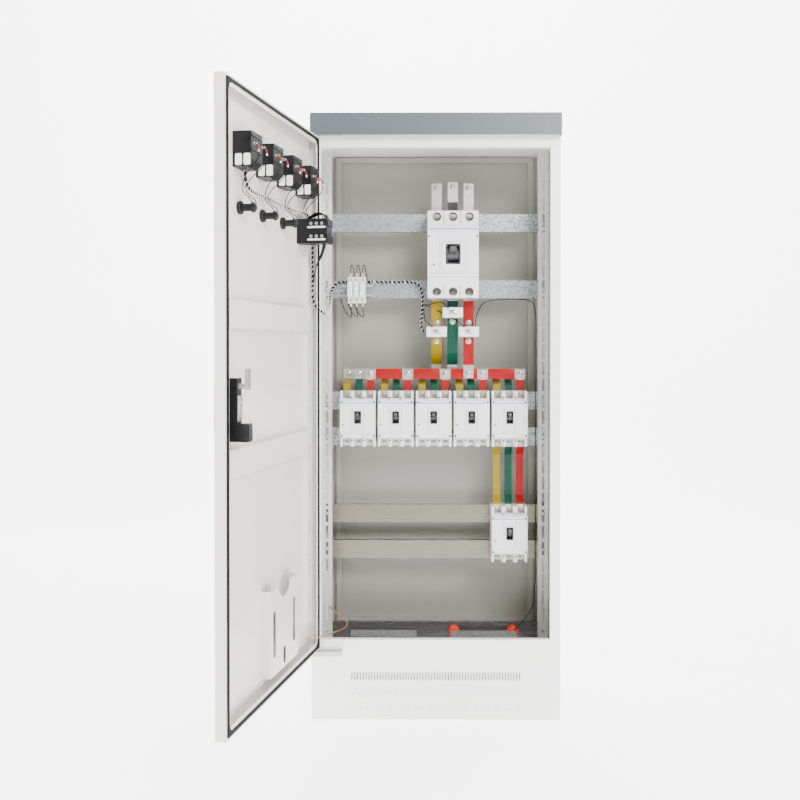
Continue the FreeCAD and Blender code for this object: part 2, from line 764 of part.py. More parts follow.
def make_lock():
    x = f"({HINGE_X} + lock_at)"
    plate = rounded("lock_width + 10", "6", "lock_height + 12", "6", x, f"{DOOR_FACE} - 6", "lock_bottom + lock_height / 2")
    case = block("lock_width - 2", "lock_depth + wall", "lock_height - 6", x, DOOR_FACE, "lock_bottom + 3", "x")
    box = block("lock_width - 2", "lock_box_depth", "lock_box_height", x, SKIN_BACK, "lock_bottom + 3", "x")
    bore = rod("spindle_radius + spindle_clearance", "lock_depth + 20", x, f"{DOOR_FACE} - 10", "spindle_level")
    node("lock_body", cut(fuse([plate, case, box]), [bore]), door_turn())

    latch_y = f"({DOOR_BACK} + latch_offset)"
    handle_back = f"({DOOR_FACE} - 6 - fit_gap)"
    spindle = rod("spindle_radius", f"{latch_y} - {handle_back} + latch_thick", x, handle_back, "spindle_level")
    boss = rod("latch_width / 2", "latch_thick", x, latch_y, "spindle_level")
    finger = block("latch_width", "latch_thick", "latch_reach", x, latch_y, "spindle_level", "x")
    node("lock_latch", fuse([spindle, boss, finger]), door_turn())
    node("lock_handle", rounded("handle_width", "handle_depth", "handle_length", "handle_width / 2 - 1", x,
                                f"{handle_back} - handle_depth", "spindle_level - handle_length / 2 + handle_width / 2"),
         door_turn())


# ---------------------------------------------------------------- breakers
def terminal_cells(kind, x, level, depth_from, depth_to):
    """Cutters for the six terminal chambers of a three-pole breaker, from front to back."""
    cells = []
    for pole in (-1, 0, 1):
        for end in (-1, 1):
            middle = f"({level} + {end} * ({kind}_height / 2 - {kind}_cell_height / 2 + 0.5))"
            cells.append(block(f"{kind}_cell_width", f"{depth_to} - {depth_from}", f"{kind}_cell_height + 1",
                               f"{x} + {pole} * {kind}_pole", depth_from, middle, "xz"))
    return cells


def breaker_base(kind, x, level):
    front = f"({RAIL_FACE} - {kind}_base)"
    body = block(f"{kind}_width", f"{kind}_base", f"{kind}_height", x, front, level, "xz")
    return cut(body, terminal_cells(kind, x, level, f"({front} - 1)", "(bar_front)"))


def breaker_cover(kind, x, level):
    back = f"({RAIL_FACE} - {kind}_base)"
    front = f"({back} - {kind}_cover)"
    shoulder = f"({front} + {kind}_shoulder)"
    slab = block(f"{kind}_width", f"{back} - {shoulder}", f"{kind}_height", x, shoulder, level, "xz")
    centre_low = f"({level} - {kind}_height / 2 + {kind}_low_zone)"
    centre_high = f"({level} + {kind}_height / 2 - {kind}_top_zone)"
    centre = block(f"{kind}_width", f"{kind}_cover", f"{centre_high} - {centre_low}", x, front, centre_low, "x")
    window_level = f"({level} + {kind}_window_raise)"
    bezel = rounded(f"{kind}_bezel_width", "bezel_proud + 1", f"{kind}_bezel_height", "3", x, f"{front} - bezel_proud",
                    f"{level} - {kind}_height * 0.03")
    window = block(f"{kind}_window_width", f"{kind}_cover - 4", f"{kind}_window_height", x,
                   f"{front} - bezel_proud - 1", window_level, "xz")
    button_x = f"({x} - {kind}_button_side)"
    button_z = f"({level} - {kind}_button_drop)"
    hole = rod(f"{kind}_button_radius + button_clearance", "button_length + 3", button_x, f"{front} - 1", button_z)
    tools = [window, hole]
    if kind == "main":
        tools += terminal_cells(kind, x, level, f"({shoulder} + 8)", f"({back} + 1)")
        for pole in (-1, 0, 1):
            for end in (-1, 1):
                tools.append(rod("13", "20", f"{x} + {pole} * main_pole", f"{shoulder} - 1",
                                 f"{level} + {end} * (main_height / 2 - 18)"))
    else:
        tools += terminal_cells(kind, x, level, f"({shoulder} - 1)", f"({back} + 1)")
    return cut(fuse([slab, centre, bezel]), tools)


def make_toggle(kind, label, x, level):
    front = f"({RAIL_FACE} - {kind}_base - {kind}_cover)"
    pivot_y = f"({front} + {kind}_hub + 4)"
    pivot_z = f"({level} + {kind}_window_raise)"
    hub = rod(f"{kind}_hub", f"{kind}_window_width - 2", f"{x} - {kind}_window_width / 2 + 1", pivot_y, pivot_z, "x")
    lever = block(f"{kind}_window_width * 0.55", f"{kind}_lever", f"{kind}_hub * 0.75", x,
                  f"{pivot_y} - {kind}_lever", pivot_z, "xz")
    pivot = Vector(0, size("upright_front") + size("wall") - size(kind + "_base") - size(kind + "_cover") + size(kind + "_hub") + 4,
                   level_value(label) + size(kind + "_window_raise"))
    tilt = FreeCAD.Placement(Vector(), FreeCAD.Rotation(RIGHT, -size("toggle_tilt")), pivot)
    node(label, fuse([hub, lever]), tilt)


def level_value(label):
    """Height of the breaker that a toggle belongs to."""
    kind = label.split("_")[0]
    return size(kind + "_level")


def make_button(kind, label, x, level):
    front = f"({RAIL_FACE} - {kind}_base - {kind}_cover)"
    node(label, rod(f"{kind}_button_radius", "button_length", f"{x} - {kind}_button_side", f"{front} - button_proud",
                    f"{level} - {kind}_button_drop"))


def branch_x(index):
    return f"(branch_at + branch_pitch * {index})"


def make_breakers():
    node("main_breaker_base", breaker_base("main", "main_at", "main_level"))
    node("main_breaker_cover", breaker_cover("main", "main_at", "main_level"))
    make_toggle("main", "main_toggle", "main_at", "main_level")
    make_button("main", "main_trip_button", "main_at", "main_level")
    places = [(f"branch_{index + 1}", branch_x(index), "branch_level") for index in range(5)]
    places.append(("feeder", branch_x(4), "feeder_level"))
    node("branch_breaker_bases", group([breaker_base("branch", x, level) for name, x, level in places]))
    node("branch_breaker_covers", group([breaker_cover("branch", x, level) for name, x, level in places]))
    for name, x, level in places:
        make_toggle("branch", name + "_toggle", x, level)
        make_button("branch", name + "_trip_button", x, level)


# ---------------------------------------------------------------- copper
def pole_x(phase):
    """Middle of one pole of the main breaker."""
    return size("main_at") + (phase - 1) * size("main_pole")


def tap_x(phase, index):
    """Middle of one pole of a branch breaker."""
    pitch = size("branch_width") + size("branch_gap")
    return size("branch_middle") + (index - 2) * pitch + (phase - 1) * size("branch_pole")


def bar_face(phase):
    """Front face of a distribution bar: yellow stands furthest back and red in front."""
    return size("bar_front") + size("bar_spacing") * (2 - phase)


def dropper_path(phase):
    top = size("main_level") - size("main_height") / 2 + 28
    pad_y = size("bar_front")
    low = size("bar_level") - size("bar_height") / 2 + 2
    face = bar_face(phase)
    if face == pad_y:
        return [(pad_y, low), (pad_y, top)]
    return [(face, low), (face, low + 45), (pad_y, low + 45 + (face - pad_y)), (pad_y, top)]


def tap_path(phase):
    pad_y = size("bar_front")
    high = size("bar_level") + size("bar_height") / 2 - 2
    low = size("branch_level") + size("branch_height") / 2 - 19
    face = bar_face(phase)
    step_high = size("bar_level") - size("bar_height") / 2 - 4
    step_low = step_high - 16
    if face == pad_y:
        return [(pad_y, low), (pad_y, high)]
    return [(pad_y, low), (pad_y, step_low), (face, step_high), (face, high)]


def feeder_path():
    pad_y = size("bar_front")
    back = pad_y + 22
    high = size("branch_level") - size("branch_height") / 2
    low = size("feeder_level") + size("branch_height") / 2
    return [(pad_y, low - 19), (pad_y, low + 8), (back, low + 26), (back, high - 26), (pad_y, high - 6), (pad_y, high + 19)]


def tail_path(phase):
    pad_y = size("bar_front")
    low = size("main_level") + size("main_height") / 2 - 30
    high = size("tail_top")
    edge = size("main_level") + size("main_height") / 2
    if phase == 1:
        return [(pad_y, low), (pad_y, edge + 4), (pad_y - 22, edge + 32), (pad_y - 22, high)]
    return [(pad_y, low), (pad_y, high)]


def clip_path(path, low, high):
    """The stretch of a strip's path between two heights."""
    points = []
    for (y0, z0), (y1, z1) in zip(path, path[1:]):
        start = max(z0, low)
        stop = min(z1, high)
        if stop - start < 0.01:
            continue
        for level in (start, stop):
            point = (y0 + (y1 - y0) * (level - z0) / (z1 - z0), level)
            if not points or abs(point[1] - points[-1][1]) > 0.01:
                points.append(point)
    return points


def sleeve_shape(path, width, low, high, x):
    """Heat-shrunk sleeve on a strip: a thin coat on its front, drawn from the strip's own path."""
    coat = size("sleeve_wall")
    thick = size("bar_thick")
    inner = strip_shape(clip_path(path, low - 10, high + 10), width, thick, x)
    run = clip_path(path, low, high)
    outer = strip_shape(run, width + 2 * coat, thick + coat, x)
    return outer.cut(inner)


def make_copper():
    thick = size("bar_thick")
    bars = []
    for phase in range(3):
        left = f"(branch_at + {phase - 1} * branch_pole - bar_overhang)"
        bars.append(block("4 * branch_pitch + 2 * bar_overhang", "bar_thick", "bar_height", left,
                          f"bar_front + bar_spacing * {2 - phase}", "bar_level", "z"))
    node("distribution_bars", group(bars))

    links = []
    sleeves = {name: [] for name in PHASES}
    bar_top = size("bar_level") + size("bar_height") / 2
    bar_low = size("bar_level") - size("bar_height") / 2
    branch_top = size("branch_level") + size("branch_height") / 2
    branch_low = size("branch_level") - size("branch_height") / 2
    feeder_top = size("feeder_level") + size("branch_height") / 2
    main_low = size("main_level") - size("main_height") / 2
    for phase, name in enumerate(PHASES):
        x = pole_x(phase)
        drop = dropper_path(phase)
        links.append(strip_shape(drop, size("dropper_width"), thick, x))
        links.append(strip_shape(tail_path(phase), size("dropper_width"), thick, x))
        window_low = size("ct_upper" if phase == 1 else "ct_lower") - size("ct_height") / 2
        sleeves[name].append(sleeve_shape(drop, size("dropper_width"), bar_top + 12, window_low - 2, x))
        sleeves[name].append(sleeve_shape(drop, size("dropper_width"), window_low + size("ct_height") + 2, main_low - 6, x))
        for index in range(5):
            tap = tap_path(phase)
            links.append(strip_shape(tap, size("tap_width"), thick, tap_x(phase, index)))
            sleeves[name].append(sleeve_shape(tap, size("tap_width"), branch_top + 1, bar_low - 3, tap_x(phase, index)))
        feed = feeder_path()
        links.append(strip_shape(feed, size("tap_width"), thick, tap_x(phase, 4)))
        sleeves[name].append(sleeve_shape(feed, size("tap_width"), feeder_top + 3, branch_low - 3, tap_x(phase, 4)))
    node("link_bars", feature(Part.makeCompound(links)))
    for name in PHASES:
        node("sleeves_" + name, feature(Part.makeCompound(sleeves[name])))


def make_insulators():
    pieces = []
    for x in (f"{branch_x(1)} - branch_pole - spacer_offset", f"{branch_x(4)} - branch_pole - spacer_offset"):
        for gap in (0, 1):
            pieces.append(rod("spacer_radius", "bar_spacing - bar_thick", x, f"bar_front + bar_thick + bar_spacing * {gap}", "bar_level"))
    for side in ("-", "+"):
        pieces.append(rod("standoff_radius", "standoff_length", f"neutral_strip_at {side} standoff_spread",
                          f"{RAIL_FACE} - standoff_length", "neutral_strip_level + 2"))
    for side in ("-", "+"):
        pieces.append(rod("screw_radius + 1", "earth_spacer", f"earth_strip_at {side} standoff_spread",
                          f"{RAIL_FACE} - earth_spacer", "earth_strip_level"))
    node("standoff_insulators", group(pieces))


def make_terminal_bars():
    earth = block("strip_length", "bar_thick", "strip_height", "earth_strip_at",
                  f"{RAIL_FACE} - earth_spacer - bar_thick", "earth_strip_level", "xz")
    neutral = block("strip_length", "bar_thick", "strip_height", "neutral_strip_at",
                    f"{RAIL_FACE} - standoff_length - bar_thick", "neutral_strip_level", "xz")
    node("terminal_bars", group([earth, neutral]))


def make_current_transformers():
    pieces = []
    for phase in range(3):
        level = "ct_upper" if phase == 1 else "ct_lower"
        x = f"(main_at + {phase - 1} * main_pole)"
        middle = "(bar_front - bar_thick / 2)"
        width = "ct_width" if phase == 1 else "(main_pole * 2 - 32)"
        body = block("ct_width", "ct_depth", "ct_height", x, middle, level, "xyz")
        if phase != 1:
            body = block("ct_width", "ct_depth", "ct_height", f"{x} + {phase - 1} * 0", middle, level, "xyz")
        window = block("dropper_width + 3", "ct_window", "ct_height + 4", x, middle, level, "xyz")
        pieces.append(cut(body, [window]))
    node("current_transformers", group(pieces))


def make_fasteners():
    """Heads of the screws and bolts, one solid each."""
    heads = []
    rail_x = f"({UPRIGHT_INNER} + upright_width / 2)"
    for name in RAILS:
        for side in (-1, 1):
            heads.append(rod("bolt_radius", "bolt_head", f"{side} * {rail_x}", "upright_front - bolt_head", f"rail_{name}"))
    for phase in range(3):
        face = f"(bar_front + bar_spacing * {2 - phase} - bar_thick)"
        for index in range(5):
            heads.append(rod("bolt_radius", "bolt_head", f"{branch_x(index)} + {phase - 1} * branch_pole", f"{face} - bolt_head", "bar_level"))
        x = f"main_at + {phase - 1} * main_pole"
        heads.append(rod("bolt_radius + 1", "bolt_head", x, f"{face} - bolt_head", "bar_level"))
        tail_face = "(bar_front - bar_thick - 22)" if phase == 1 else "(bar_front - bar_thick)"
        heads.append(rod("bolt_radius + 1", "bolt_head", x, f"{tail_face} - bolt_head", "tail_top - 14"))
        for end in (-1, 1):
            heads.append(rod("bolt_radius + 3", "bolt_head + 2", x, "bar_front - bar_thick - bolt_head - 2",
                             f"main_level + {end} * (main_height / 2 - 18)"))
            for index in range(6):
                level = "feeder_level" if index == 5 else "branch_level"
                pole = f"{branch_x(min(index, 4))} + {phase - 1} * branch_pole"
                linked = end == 1 or index == 4
                back = "bar_front - bar_thick" if linked else "bar_front"
                heads.append(rod("screw_radius", "bolt_head", pole, f"{back} - bolt_head",
                                 f"{level} + {end} * (branch_height / 2 - 10)"))
    for index in range(-3, 4):
        heads.append(rod("screw_radius - 1", "bolt_head", f"earth_strip_at + {index} * strip_screw_pitch",
                         f"{RAIL_FACE} - earth_spacer - bar_thick - bolt_head", "earth_strip_level"))
        heads.append(rod("screw_radius - 1", "bolt_head", f"neutral_strip_at + {index} * strip_screw_pitch",
                         f"{RAIL_FACE} - standoff_length - bar_thick - bolt_head", "neutral_strip_level"))
    node("fasteners", group(heads))


# ---------------------------------------------------------------- fuses
def make_fuses():
    rail = block("din_length", "din_depth", "din_height - 10", "fuse_at", f"{RAIL_FACE} - din_depth", "rail_main_lower - 4.5", "xz")
    hollow = block("din_length + 2", "din_depth", "din_height - 10 - 2 * wall", "fuse_at", f"{RAIL_FACE} - din_depth + wall",
                   "rail_main_lower - 4.5", "xz")
    brim = block("din_length", "wall", "din_height", "fuse_at", f"{RAIL_FACE} - din_depth", "rail_main_lower - 4.5", "xz")
    throat = block("din_length + 2", "2 * wall", "din_height - 10 - 2 * wall", "fuse_at", f"{RAIL_FACE} - din_depth - wall / 2",
                   "rail_main_lower - 4.5", "xz")
    node("din_rail", cut(fuse([rail, brim]), [hollow, throat]))
    bases = []
    front = f"({RAIL_FACE} - din_depth - fuse_depth)"
    for index in (-1, 0, 1):
        x = f"(fuse_at + {index} * fuse_pitch)"
        case = block("fuse_width", "fuse_depth", "fuse_height", x, front, "rail_main_lower - 4.5", "xz")
        nose = block("fuse_width", "cheek_depth", "carrier_height", x, f"{front} - cheek_depth", "rail_main_lower - 4.5", "xz")
        slot = block("carrier_width + 2 * cheek_gap", "cheek_depth", "carrier_height + 2", x, f"{front} - cheek_depth",
                     "rail_main_lower - 4.5", "xz")
        pivot_y = f"({front} - carrier_gap - carrier_pivot)"
        pivot_z = "(rail_main_lower - 4.5 - carrier_height / 2 + carrier_pivot)"
        axle = rod("pivot_radius", "fuse_width", f"{x} - fuse_width / 2", pivot_y, pivot_z, "x")
        bases.append(fuse([case, cut(nose, [slot]), axle]))
        body = block("carrier_width", "carrier_depth", "carrier_height", x, f"{front} - carrier_gap - carrier_depth",
                     "rail_main_lower - 4.5", "xz")
        bore = rod("pivot_radius + pin_clearance", "fuse_width", f"{x} - fuse_width / 2", pivot_y, pivot_z, "x")
        node(f"fuse_carrier_{index + 2}", cut(body, [bore]))
    node("fuse_bases", group(bases))


# ---------------------------------------------------------------- leads
def swung(points):
    """Points given on the shut door, moved to where the open door stands."""
    turn = door_turn()
    return [turn.multVec(Vector(*point)) for point in points]


DOOR_RUN = [
    (190, -203, 1453.5), (190, -203, 1434), (165, -203, 1414), (110, -203, 1410), (40, -202, 1413), (-30, -203, 1408),
    (-100, -202, 1412), (-165, -203, 1407), (-225, -200, 1413), (-280, -196, 1409), (-300, -194.5, 1362),
    (-303, -194, 1300), (-300, -194, 1245), (-302, -194, 1195),
]
HINGE_DOOR_END = [(-302, -194, 1195), (-303.08, -194, 1168)]
HINGE_CABINET_END = [(-314, -214, 1145), (-307, -170, 1141), (-310, -110, 1149), (-313, -50, 1160), (-316, 5, 1178), (-316, 34, 1208)]
CABINET_RUN = [
    (-316, 34, 1208), (-316, 45.6, 1220), (-303, 52, 1243), (-280, 56, 1248.5), (-240, 56.5, 1247), (-185, 56, 1248), (-130, 56.5, 1246),
    (-78, 55, 1248), (-48, 49, 1240), (-37, 40, 1208), (-38, 34, 1165), (-43, 28, 1112), (-37, 28, 1097), (-25.5, 28, 1097),
]
NEUTRAL_RUN = [
    (122, 40, 1110.5), (122, 40, 1138), (134, 52, 1166), (150, 56, 1190), (196, 58, 1194), (250, 58, 1196), (292, 57, 1193), (306, 55, 1168),
    (307, 55, 1100), (305.5, 55.5, 1040), (307, 55, 980), (305.5, 55, 920), (307, 55, 860), (305.5, 55.5, 800),
    (307, 55, 740), (305.5, 55, 680), (307, 55, 620), (305.5, 55.5, 560), (307, 55, 500), (305.5, 55, 440), (307, 55, 380),
    (304, 54, 322), (301, 48, 276), (284, 38, 238), (259, 29, 215), (243, 27.5, 203), (243, 27.5, 192),
]
BOND_DOOR_END = [(-296, -212.5, 246), (-296, -190, 246)]
BOND_CABINET_END = [(-318, -200, 240), (-292, -168, 240), (-264, -128, 240), (-254, -84, 242), (-266, -42, 247), (-292, -8, 253), (-310, 20, 257), (-318, 42, 260), (-318, 60, 260)]


def make_leads():
    door_run = swung(DOOR_RUN)
    hinge_run = swung(HINGE_DOOR_END) + [Vector(*point) for point in HINGE_CABINET_END]
    bond_run = swung(BOND_DOOR_END) + [Vector(*point) for point in BOND_CABINET_END]
    loom = size("loom_radius")
    node("door_loom", feature(tube_shape(door_run, loom, "door_loom")))
    node("hinge_loom", feature(tube_shape(hinge_run, loom, "hinge_loom")))
    node("cabinet_loom", feature(tube_shape([Vector(*point) for point in CABINET_RUN], loom, "cabinet_loom")))
    node("neutral_lead", feature(tube_shape([Vector(*point) for point in NEUTRAL_RUN], size("lead_radius"), "neutral_lead")))
    node("earth_bond_wire", feature(tube_shape(bond_run, size("bond_radius"), "earth_bond_wire")))


# ---------------------------------------------------------------- all sub-parts
make_side_panels()
make_rear_panel()
make_roof()
make_header()
make_front_frame()
make_rear_frame()
make_plinth()
make_gland_plate()
make_uprights()
make_cross_rails()
make_hinge_brackets()
make_door_leaf()
make_door_seal()
make_stiffeners()
make_pocket()
make_meters()
make_lamps()
make_selector()
make_lock()
make_breakers()
make_copper()
make_insulators()
make_terminal_bars()
make_current_transformers()
make_fasteners()
make_fuses()
make_leads()
doc.recompute()

faults = []
for thing in doc.Objects:
    if "Invalid" in thing.State or "Error" in thing.State:
        faults.append(f"{thing.Label}: {thing.State}")
for thing in nodes:
    if thing.Shape.isNull() or not thing.Shape.isValid() or not thing.Shape.Solids:
        faults.append(f"{thing.Label}: no valid shape")
if faults:
    raise RuntimeError("; ".join(faults))

os.makedirs("parts", exist_ok=True)
for thing in nodes:
    thing.Shape.exportStep(os.path.join("parts", thing.Label + ".step"))
print(len(nodes), "sub-parts written")
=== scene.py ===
import json
import math

import bpy
import numpy as np
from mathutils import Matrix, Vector


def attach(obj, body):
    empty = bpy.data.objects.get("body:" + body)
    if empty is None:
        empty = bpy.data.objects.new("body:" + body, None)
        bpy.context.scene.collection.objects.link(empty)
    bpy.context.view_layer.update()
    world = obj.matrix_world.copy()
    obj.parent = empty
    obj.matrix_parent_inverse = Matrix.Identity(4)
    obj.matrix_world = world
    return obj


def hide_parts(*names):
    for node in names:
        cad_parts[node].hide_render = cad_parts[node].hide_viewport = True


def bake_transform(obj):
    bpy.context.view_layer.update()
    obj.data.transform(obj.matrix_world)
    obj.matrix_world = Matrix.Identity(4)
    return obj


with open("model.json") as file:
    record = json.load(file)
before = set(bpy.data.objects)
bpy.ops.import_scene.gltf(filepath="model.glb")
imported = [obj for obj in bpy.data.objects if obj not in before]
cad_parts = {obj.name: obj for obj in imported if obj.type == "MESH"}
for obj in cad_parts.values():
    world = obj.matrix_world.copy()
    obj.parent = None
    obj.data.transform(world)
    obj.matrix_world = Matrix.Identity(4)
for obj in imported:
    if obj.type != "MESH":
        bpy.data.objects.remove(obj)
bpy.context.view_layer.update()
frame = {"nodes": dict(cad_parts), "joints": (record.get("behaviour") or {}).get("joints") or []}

NODES = frame["nodes"]
HINGE = next(joint for joint in frame["joints"] if joint["name"] == "door_hinge")
HINGE_X, HINGE_Y = HINGE["pos_m"][:2]
DOOR_ANGLE = math.radians(HINGE["range_deg"][1])
MM = 0.001

# Places of the equipment, in millimetres.
DOOR_FACE = -214.0
SKIN_BACK = -212.5
RAIL_FACE = 61.5
BAR_FRONT = 26.0
BAR_SPACING = 32.0
BAR_THICK = 4.0
BAR_LEVEL = 969.0
MAIN_X, MAIN_Z, MAIN_POLE = 52.5, 1323.0, 48.0
BRANCH_X = [-230.0 + 112.75 * index for index in range(5)]
BRANCH_Z, FEEDER_Z, BRANCH_POLE = 836.0, 491.5, 35.0
BRANCH_FRONT = -27.5
MAIN_FRONT = -47.5
RAIL_LEVELS = (1427.0, 1225.5, 887.0, 777.5, 542.5, 433.0, 183.0)
RAIL_SCREW_X = 329.5
METER_X = [-244.0 + 150.0 * index for index in range(4)]
METER_Z, LAMP_Z, SELECTOR_Z = 1493.0, 1366.0, 1360.0
EARTH_X, EARTH_Z, NEUTRAL_X, NEUTRAL_Z = -156.0, 178.0, 147.0, 182.0
LOCK_X, LOCK_LOW = 291.0, 840.0


# ---------------------------------------------------------------- shapes
def to_open_door(points):
    """Points of the shut door turned about the hinge to where the open door stands, in millimetres."""
    moved = np.array(points, dtype=float)
    across = moved[..., 0] - HINGE_X / MM
    along = moved[..., 1] - HINGE_Y / MM
    cosine = math.cos(-DOOR_ANGLE)
    sine = math.sin(-DOOR_ANGLE)
    moved[..., 0] = HINGE_X / MM + cosine * across - sine * along
    moved[..., 1] = HINGE_Y / MM + sine * across + cosine * along
    return moved


def grid_faces(rows, columns, closed=True):
    """Quads of a grid of rows by columns, wrapped round along its columns when closed."""
    row, column = np.meshgrid(np.arange(rows - 1), np.arange(columns if closed else columns - 1),
                              indexing="ij")
    ahead = (column + 1) % columns
    below = row * columns
    above = (row + 1) * columns
    corners = np.stack([below + column, above + column, above + ahead, below + ahead], -1)
    return corners.reshape(-1, 4).tolist()


def capped_grid(points):
    """Mesh of a grid of closed rings, with a flat cap on its first and its last ring."""
    rows, columns = points.shape[:2]
    faces = grid_faces(rows, columns)
    faces.append(list(range(columns)))
    faces.append([(rows - 1) * columns + index for index in range(columns)][::-1])
    return points.reshape(-1, 3), faces


def moulded(width, height, corner, profile, arc=4):
    """Rounded block about the Y axis. Each ring is a rectangle with quarter-circle corners, shrunk by the
    profile's inset, and stands at the profile's depth; rings run from the front to the back."""
    profile = np.array(profile, dtype=float)
    turn = np.linspace(0, math.pi / 2, arc)
    angles = (turn[None, :] + np.arange(4)[:, None] * math.pi / 2).ravel()
    signs = np.repeat([[1, 1], [-1, 1], [-1, -1], [1, -1]], arc, axis=0)
    inset = profile[:, :1]
    radius = np.maximum(corner - inset, 0.01)
    x = signs[None, :, 0] * (width / 2 - inset - radius) + radius * np.cos(angles)[None, :]
    z = signs[None, :, 1] * (height / 2 - inset - radius) + radius * np.sin(angles)[None, :]
    y = np.broadcast_to(profile[:, 1:], x.shape)
    return capped_grid(np.stack([x, y, z], -1))


def turned(profile, sides=20, lobes=0, lobe_depth=0.0):
    """Turned body about the Y axis: a ring of the profile's radius stands at the profile's depth. Lobes vary
    the radius with the cosine of a whole number of turns, for knurls and grips."""
    profile = np.array(profile, dtype=float)
    angle = np.linspace(0, 2 * math.pi, sides, endpoint=False)
    wave = 1 + lobe_depth * np.cos(lobes * angle)
    x = profile[:, :1] * np.cos(angle) * wave
    z = profile[:, :1] * np.sin(angle) * wave
    y = np.broadcast_to(profile[:, 1:], x.shape)
    return capped_grid(np.stack([x, y, z], -1))


def hexagonal(across, height):
    """Hexagon head about the Y axis: six-sided rings with the front corners chamfered off."""
    return turned([(across * 0.42, -height), (across * 0.53, -height * 0.82), (across * 0.577, -height * 0.6),
                   (across * 0.577, 0)], 6)


def framed(width, height, corner, profile, arc=4):
    """Rounded frame about the Y axis: the moulded block's rings with the last joined to the first, so that
    the profile is the section of the frame's rail."""
    points, _ = moulded(width, height, corner, profile, arc)
    rings = points.reshape(len(profile), 4 * arc, 3)
    faces = grid_faces(len(profile) + 1, 4 * arc)
    count = len(profile) * 4 * arc
    return rings.reshape(-1, 3), [[index % count for index in face] for face in faces]


def repeated(shape, places):
    """Copies of one shape at every place, as one mesh."""
    points, faces = shape
    places = np.array(places, dtype=float)
    every = (points[None] + places[:, None]).reshape(-1, 3)
    shift = np.arange(len(places)) * len(points)
    return every, [[index + int(step) for index in face] for step in shift for face in faces]


def joined(shapes):
    """Several shapes as one mesh."""
    points = []
    faces = []
    start = 0
    for some_points, some_faces in shapes:
        points.append(some_points)
        faces += [[index + start for index in face] for face in some_faces]
        start += len(some_points)
    return np.concatenate(points), faces


def spline(route):
    """Points along the smooth curve whose control points are the route."""
    curve = bpy.data.curves.new("route", "CURVE")
    curve.dimensions = "3D"
    curve.resolution_u = 8
    line = curve.splines.new("NURBS")
    line.points.add(len(route) - 1)
    control = np.concatenate([np.array(route, dtype=float), np.ones((len(route), 1))], axis=1)
    line.points.foreach_set("co", control.ravel())
    line.order_u = 3
    line.use_endpoint_u = True
    holder = bpy.data.objects.new("route", curve)
    flat = bpy.data.meshes.new_from_object(holder)
    points = np.empty(len(flat.vertices) * 3)
    flat.vertices.foreach_get("co", points)
    bpy.data.objects.remove(holder)
    bpy.data.meshes.remove(flat)
    return points.reshape(-1, 3)


def along(points):
    """Distance run at each point of a line."""
    steps = np.linalg.norm(np.diff(points, axis=0), axis=1)
    return np.concatenate([[0], np.cumsum(steps)])


def evenly(points, step):
    """The line's points moved so that they stand about one step apart."""
    run = along(points)
    count = max(int(run[-1] / step), 3)
    stations = np.linspace(0, run[-1], count + 1)
    return np.stack([np.interp(stations, run, points[:, axis]) for axis in range(3)], -1)


def frames(points):
    """Two unit directions across the line at each point, kept square to the line and free of twist."""
    ahead = np.gradient(points, axis=0)
    ahead /= np.linalg.norm(ahead, axis=1)[:, None]
    side = np.cross(ahead[0], [0.3, 0.5, 0.81])
    sides = []
    for direction in ahead:
        side = side - direction * np.dot(side, direction)
        side = side / np.linalg.norm(side)
        sides.append(side)
    sides = np.array(sides)
    return sides, np.cross(ahead, sides)


def tube(points, radius, sides=8):
    """Round tube: a circle of the radius carried along the line, square to it."""
    first, second = frames(points)
    angle = np.linspace(0, 2 * math.pi, sides, endpoint=False)
    ring = first[:, None] * np.cos(angle)[None, :, None] + second[:, None] * np.sin(angle)[None, :, None]
    return capped_grid(points[:, None] + radius * ring[:, ::-1])


def helix(points, radius, pitch, phase):
    """Line that winds round another at a radius, one turn in every pitch of its length."""
    first, second = frames(points)
    angle = 2 * math.pi * along(points)[:, None] / pitch + phase
    return points + radius * (first * np.cos(angle) + second * np.sin(angle))


def add_piece(name, shape, body, material, on_door=False, smooth=True):
    """Makes a mesh object of a shape given in millimetres; it rides on the body, if one is named."""
    points, faces = shape
    if on_door:
        points = to_open_door(points)
    mesh = bpy.data.meshes.new(name)
    mesh.from_pydata((np.asarray(points) * MM).tolist(), [], faces)
    mesh.validate()
    mesh.update()
    if smooth:
        mesh.polygons.foreach_set("use_smooth", [True] * len(mesh.polygons))
        mesh.set_sharp_from_angle(angle=math.radians(38))
    mesh.materials.append(material)
    piece = bpy.data.objects.new(name, mesh)
    bpy.context.scene.collection.objects.link(piece)
    if body:
        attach(piece, body)
    return piece


